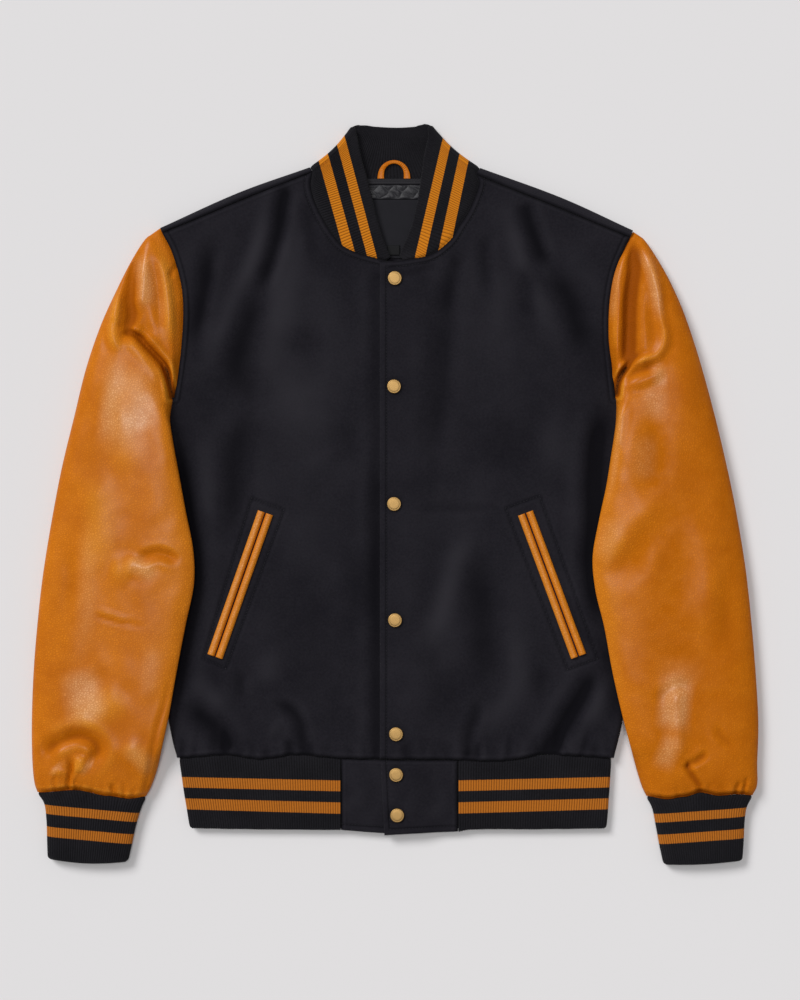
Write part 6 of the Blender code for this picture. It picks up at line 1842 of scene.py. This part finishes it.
ON_THE_LEFT = surface_of(FRONTS["left"], TABS["left"])
CAPS = [snap(number, x, y, ON_THE_LEFT) for number, (x, y) in enumerate(SNAPS, 1)]
print(len(CAPS), "snap caps,", len(CAPS[0].data.polygons), "faces each")

# %% [markdown]
# ## Inside the back neck
#
# What shows there is a strip of the quilted satin lining between the seam tape and the plain facing. Satin
# is thin, so its quilting puffs up between the rows of stitches and wrinkles towards them. The label stays
# bare.

# %% Dark finishes
def satin_finish():
    satin = Finish("satin", Specular_IOR_Level=0.4, Sheen_Weight=0.03)
    place = satin.place()
    threads, wrinkles = satin.noise(place, 0.0006, 2.0, 0.6), satin.noise(place, 0.0045, 3.0, 0.6, 0.8)
    colour = satin.mix(wrinkles, (0.005, 0.0048, 0.0070), (0.014, 0.0132, 0.018))
    normal = satin.bump(wrinkles, 0.0006, 0.4)
    return satin.wear(Base_Color=colour, Roughness=0.44 + 0.14 * threads, Normal=normal)


def plain_finish(name, dark, pale, rough, size):
    """A plain woven cloth: a fine uneven grain over one colour."""
    cloth = Finish(name, Specular_IOR_Level=0.2)
    place = cloth.place()
    grain, patches = cloth.noise(place, size, 3.0, 0.7), cloth.noise(place, 0.012, 2.0, 0.5)
    colour = cloth.mix(grain * 0.5 + patches * 0.5, dark, pale)
    return cloth.wear(Base_Color=colour, Roughness=rough + 0.1 * grain, Normal=cloth.bump(grain, 0.0003, 0.5))


SATIN_FINISH = satin_finish()
FACING_FINISH = plain_finish("facing", (0.0085, 0.0082, 0.0110), (0.0150, 0.0145, 0.0185), 0.80, 0.0012)
TAPE_FINISH = plain_finish("tape", (0.011, 0.0104, 0.013), (0.028, 0.0265, 0.031), 0.70, 0.0009)
LABEL_FINISH = plain_finish("label", (0.0030, 0.0030, 0.0038), (0.0050, 0.0050, 0.0062), 0.62, 0.0007)
THREAD_FINISH = plain_finish("thread", (0.0075, 0.0073, 0.0100), (0.0165, 0.0160, 0.0205), 0.45, 0.0006)

# %% Pieces inside the neck
NECK_TAPE = (-31.0, 30.0, 719.8, 725.4)         # ranges of x and y
NECK_LINING = (-30.0, 29.0, 703.6, 719.2)
NECK_FACING = (-34.0, 31.0, 641.0, 703.3)
NECK_LABEL = (-8.8, 4.4, 644.4, 655.0)
QUILT_PITCH, QUILT_RAISED = 16.0, 1.2           # from row to row, and how far it puffs up


def level_piece(name, box, level, cells, finish, relief=None):
    """A rectangle of thin cloth lying level, rounded at its edges, with a relief on its upper face."""
    x0, x1, y0, y1 = box
    near = np.array([0.0, 0.15, 0.45, 1.0])
    u, v = np.meshgrid(*(spread(near / size, near / size, count)
                         for size, count in zip((x1 - x0, y1 - y0), cells)))
    x, y = x0 + (x1 - x0) * u, y0 + (y1 - y0) * v
    edge = np.minimum.reduce([x - x0, x1 - x, y - y0, y1 - y])
    high = level + TRIM - rounding(edge, 0.7) + (relief(x, y, edge) if relief else 0.0)
    return pad(name, x, y, np.full(x.shape, level), high, finish)


def quilting(x, y, edge):
    """Diamonds between rows of stitches, slack and uneven."""
    a, b = x / QUILT_PITCH, (y - NECK_LINING[2]) / QUILT_PITCH
    lean = 0.30 * waves(111, x, y, (13, 24), 1.0)
    puff = np.abs(np.sin(math.pi * (a + b + lean)) * np.sin(math.pi * (a - b + 0.5 * lean))) ** 0.7
    creased = 0.45 * waves(112, x, y, (4.3, 6.1, 9.7), 1.0)
    return (QUILT_RAISED * puff + creased * puff) * ease(edge / 2.2)


FACING = level_piece("neck_facing_cloth", NECK_FACING, WOOL + GAP, (30, 30), FACING_FINISH,
                     lambda x, y, edge: np.clip(waves(113, x, y, (24, 41), 0.35), -0.2, 0.4) * ease(edge / 4))
LINING = level_piece("neck_quilted_satin", NECK_LINING, WOOL + GAP, (110, 34), SATIN_FINISH, quilting)
TAPE = level_piece("neck_seam_tape", NECK_TAPE, KNIT + GAP, (60, 8), TAPE_FINISH,
                   lambda x, y, edge: 0.25 * np.exp(-((y - 722.6) / 0.7) ** 2) * -1)
LABEL = level_piece("neck_bare_label", NECK_LABEL, WOOL + TRIM + 2 * GAP, (14, 12), LABEL_FINISH)

# %% Hanger loop
LOOP_FEET, LOOP_RISE, LOOP_X = 13.9, 17.5, -1.8
LOOP_STRIP = (7.2, 3.7)     # width at the feet and at the top
LOOP_ROUND = 0.8            # how full its arch is: less is squarer
LOOP_LIFT = 1.2             # by which its top stands off the collar
LOOP_LINES = np.array([0, 0.05, 0.12, 0.22, 0.36, 0.5, 0.64, 0.78, 0.88, 0.95, 1])


def hanger_loop():
    """A folded strip of hide that leaves the tape, arches and comes back to it, crimped where it bends."""
    start_y = NECK_TAPE[3] + GAP
    u, v = np.meshgrid(LOOP_LINES, np.linspace(0, 1, 91))
    angle = math.pi * v
    x, y = LOOP_X - LOOP_FEET * np.cos(angle), start_y + LOOP_RISE * np.sin(angle) ** LOOP_ROUND
    width = LOOP_STRIP[0] + (LOOP_STRIP[1] - LOOP_STRIP[0]) * np.sin(angle)
    x = x + np.cos(angle) * width * (u - 0.5)
    y = np.maximum(y - np.sin(angle) * width * (u - 0.5), start_y)
    low = KNIT + GAP + LOOP_LIFT * np.sin(angle)
    edge = np.minimum(u, 1 - u) * width
    from_top = np.abs(v - 0.5)
    bends = 0.35 * ease((from_top - 0.08) / 0.1) * (1 - ease((from_top - 0.3) / 0.1))
    crimps = bends * np.sin(v * 150) * ease(u * 1.5)
    stitch_dent = 0.28 * np.exp(-((edge - 1.0) / 0.35) ** 2)
    high = low + LEATHER - rounding(edge, 1.1) + crimps - stitch_dent
    # painted shade along the edges
    press = 0.5 * np.exp(-(edge / 0.7) ** 2)
    return pad("leather_hanger_loop", x, y, low, high, LEATHER_FINISH, both(press=press))


LOOP = hanger_loop()
measured(FACING, LINING, TAPE, LABEL, LOOP, *WELTS["right"].values())

# %% [markdown]
# ## Stitches
#
# Topstitching holds the seams flat, so it follows every edge of the wool at one foot's width. Each row is a
# path that is laid on the finished surface. The tree turns it into a curve, puts a point at every stitch,
# and sets a small capsule of thread there along the curve, each turned and sized a little differently.

# %% Stitch recipe
STITCH_PITCH = 3.3          # from one stitch to the next
ROW_STEP = 1.6              # between the points of a row's path
SHOULDER_STITCHED = 4.6     # from the shoulder's seam to its topstitching


def stitch_recipe():
    sew = Recipe("stitches", Pitch=STITCH_PITCH * MM, Thread=0.62 * MM, Seed=5)
    path = sew.node("GeometryNodeMeshToCurve", None, {"Mesh": sew.given("Geometry")})
    seats = sew.node("GeometryNodeResampleCurve", {"mode": "LENGTH"},
                     {"Curve": path, "Length": sew.given("Pitch")})
    ball = sew.node("GeometryNodeMeshUVSphere", None, {"Segments": 6, "Rings": 5, "Radius": 0.5})
    aim = sew.node("FunctionNodeAlignRotationToVector", {"axis": "X"},
                   {"Vector": sew.node("GeometryNodeInputTangent")})
    sway = sew.node("FunctionNodeRandomValue", {"data_type": "FLOAT_VECTOR"},
                    {"Min": (-0.05, -0.05, -0.09), "Max": (0.05, 0.05, 0.09), "Seed": sew.given("Seed")})
    turned = sew.node("FunctionNodeRotateRotation", None, {"Rotation": aim, "Rotate By": sway})
    even = sew.node("FunctionNodeRandomValue", {"data_type": "FLOAT"},
                    {2: 0.74, 3: 0.86, "Seed": sew.given("Seed")}, 1)
    size = sew.node("CombineXYZ", None, {"X": sew.given("Pitch") * even, "Y": sew.given("Thread"),
                                         "Z": sew.given("Thread") * 0.8})
    rows = sew.node("GeometryNodeInstanceOnPoints", None,
                    {"Points": seats, "Instance": ball, "Rotation": turned, "Scale": size})
    sew.done(rows, THREAD_FINISH)
    return sew


STITCHES = stitch_recipe()


def row_of_points(rows):
    """Points along a smooth curve, at even steps."""
    return curve(rows, np.linspace(0, 1, max(3, round(length_of(curve(rows, FINE)) / ROW_STEP))))


def beside(path, distance):
    """A path moved sideways: to its left where the distance is positive."""
    along = np.gradient(path, axis=0)
    along /= np.linalg.norm(along, axis=1, keepdims=True)
    return path + np.stack([-along[:, 1], along[:, 0]], -1) * distance


def sewn(name, paths, tree, lift=0.10, **values):
    """Lays paths on a surface and grows their stitches."""
    points, edges = [], []
    for path in paths:
        z = top_of(tree, path[:, 0], path[:, 1]) + lift
        first = len(points)
        points.extend(np.column_stack([path, z]).tolist())
        edges.extend((first + i, first + i + 1) for i in range(len(path) - 1))
    mesh = bpy.data.meshes.new(name)
    mesh.from_pydata(in_metres(np.array(points)), edges, [])
    obj = STITCHES.grow(in_scene(name, mesh), **values)
    print(name, len(paths), "rows,", len(obj.data.polygons) // 30, "stitches")
    return obj


# %% Rows of stitches on the fronts and tabs
def inner_part(path, first, last):
    """The stretch of a path between two shares of its points."""
    return path[round(first * (len(path) - 1)):round(last * (len(path) - 1)) + 1]


def straight_path(start, end, step=ROW_STEP):
    start, end = np.array(start), np.array(end)
    count = max(3, round(np.linalg.norm(end - start) / step))
    return start + (end - start) * np.linspace(0, 1, count)[:, None]


def front_rows(side):
    neck, armhole = (beside(row_of_points(rows(side)), -STITCHED * OUTWARD[side])
                     for rows in (neckline_rows, armhole_rows))
    rows = [inner_part(neck, 0.11, 0.955), inner_part(armhole, 0.02, 0.985)]
    corners = POCKET_BOX[side]
    rows += [straight_path(a, b) for a, b in zip(corners, corners[1:] + corners[:1])]
    if side == "left":
        x = EDGES["left", "opening"][0, 0] + STITCHED + 0.6
        rows.append(straight_path((x, 113.5), (x, 631.0)))
    return rows


def tab_rows(side):
    (ax, ay, bx, by), (dx, dy) = TAB[side][0], TAB[side][-1][2:]
    inward, up = OUTWARD[side], by + STITCHED
    rows = [straight_path((bx + inward * STITCHED, up), (dx - inward * 1.5, dy + STITCHED))]
    if side == "left":
        rows.append(straight_path((bx + STITCHED, up), (ax + STITCHED, ay - 1.5)))
    return rows


SEWING = {}
for side in SIDES:
    for place, rows, panel in (("front_", front_rows, FRONTS), ("tab_", tab_rows, TABS)):
        SEWING[place + side] = sewn("stitches_" + place + side, rows(side), surface_of(panel[side]))
shoulder_stitches = [beside(curve(shoulder_rows(side, -GAP / 2), np.linspace(0.03, 0.97, 100)),
                            SHOULDER_STITCHED * OUTWARD[side]) for side in SIDES]
SEWING["shoulders"] = sewn("stitches_shoulders", shoulder_stitches, surface_of(BACK))

# %% Overlock on the neck tape
x0, x1, y0, y1 = NECK_TAPE
teeth = [straight_path((x, y1 - 2.9), (x + 0.7, y1 - 0.3), 0.8) for x in np.arange(x0 + 1.0, x1 - 1.0, 1.75)]
ON_TAPE = surface_of(TAPE)
SEWING["neck_tape"] = sewn("stitches_neck_tape", teeth, ON_TAPE, Pitch=2.6 * MM, Thread=0.7 * MM)

# %% [markdown]
# ## On the frame
#
# Each piece now rides on the imported model and takes the place of the solid that it dresses.

# %% Pieces and the solids that they replace
def dressed(piece, nodes, slot, cut=None, sewn_on=()):
    """Puts a piece in the place of its solids. slot, its finish, and cut, how its cloth was cut, are not
    used.
    """
    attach(piece, "root")
    if nodes:
        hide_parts(*nodes)


dressed(BACK, ["back"], "wool", (0.52, 0.66), [SEWING["shoulders"]])
dressed(COLLAR, ["collar"], "knit", (0.50, 0.068))
dressed(WAISTBAND, ["waistband"], "knit", (0.93, 0.076))
dressed(FACING, ["neck_facing"], "facing", (0.065, 0.0623))
dressed(LINING, ["neck_lining"], "satin", (0.059, 0.0156))
dressed(TAPE, ["neck_tape"], "tape", (0.0112, 0.061), [SEWING["neck_tape"]])
dressed(LABEL, ["neck_label"], "tape", (0.0132, 0.0106))
dressed(LOOP, ["hanger_loop"], "leather", (0.0115, 0.058))
for side, fronts, tabs, caps in (("right", (0.28, 0.64), (0.075, 0.080), ((), ())),
                                 ("left", (0.285, 0.64), (0.083, 0.080), (CAPS[:5], CAPS[5:]))):
    sewing = SEWING["front_" + side], SEWING["tab_" + side]
    dressed(FRONTS[side], ["front_" + side], "wool", fronts, [sewing[0], *caps[0]])
    dressed(TABS[side], ["tab_" + side], "wool", tabs, [sewing[1], *caps[1]])
    dressed(SLEEVES[side], ["topsleeve_" + side, "undersleeve_" + side], "leather", (0.32, 0.63))
    dressed(CUFFS[side], ["cuff_" + side], "knit", (0.215, 0.075))
    for which, welt in WELTS[side].items():
        dressed(welt, [f"pocket_welt_{side}_{which}"], "leather", (0.0105, 0.161))
for number, cap in enumerate(CAPS, 1):
    dressed(cap, [f"snap_{number}"], "brass")
for place, sewing in SEWING.items():
    dressed(sewing, [], "tape" if place == "neck_tape" else "wool")

# %% [markdown]
# ## Floor, light and camera
#
# The jacket lies on a plain pale floor and is seen from straight above through a long lens, which keeps its
# outline true. One large soft light stands at the upper left and a weaker one overhead, and a pale dome
# fills the shadows.

# %% Floor
FLOOR_REACH, FLOOR_LEVEL = 30, -0.0004


def floor():
    surface = Finish("floor", Roughness=0.9, Specular_IOR_Level=0.1)
    surface.put(surface.shader.inputs["Base Color"], (0.800, 0.785, 0.792))
    mesh = bpy.data.meshes.new("floor")
    corners = [(-FLOOR_REACH, -FLOOR_REACH), (FLOOR_REACH, -FLOOR_REACH), (FLOOR_REACH, FLOOR_REACH),
               (-FLOOR_REACH, FLOOR_REACH)]
    mesh.from_pydata([(*corner, FLOOR_LEVEL) for corner in corners], [], [(0, 1, 2, 3)])
    mesh.materials.append(surface.material)
    in_scene("floor", mesh)


floor()

# %% Light
DOME = 0.235                # the pale room, from everywhere
# Rows: direction towards the light, its share of the floor's light, and its width in degrees.
LIGHTS = {
    "key_light": ((-0.72, 0.70, 0.86), 0.42, 24),
    "top_light": ((-0.02, 0.12, 1.0), 0.275, 18),
}

for name, (towards, share, width) in LIGHTS.items():
    towards = Vector(towards).normalized()
    lamp = bpy.data.lights.new(name, "SUN")
    lamp.angle, lamp.energy = math.radians(width), share * math.pi / towards.z
    in_scene(name, lamp).rotation_euler = towards.to_track_quat("Z", "Y").to_euler()
world = bpy.data.worlds.new("studio")
world.use_nodes = True
world.node_tree.nodes["Background"].inputs["Color"].default_value = (1, 1, 1, 1)
world.node_tree.nodes["Background"].inputs["Strength"].default_value = DOME
bpy.context.scene.world = world
bpy.context.scene.view_settings.view_transform = "Standard"

# %% Camera
VIEW_HEIGHT = 1.06          # metres from the top to the bottom of the picture
LENS, SENSOR = 100.0, 36.0
VIEW_MIDDLE = (0.0046, -0.0063)

camera = bpy.data.cameras.new("camera")
camera.lens, camera.sensor_width = LENS, SENSOR
view = in_scene("camera", camera)
view.location = (*VIEW_MIDDLE, VIEW_HEIGHT * LENS / SENSOR)
bpy.context.scene.camera = view
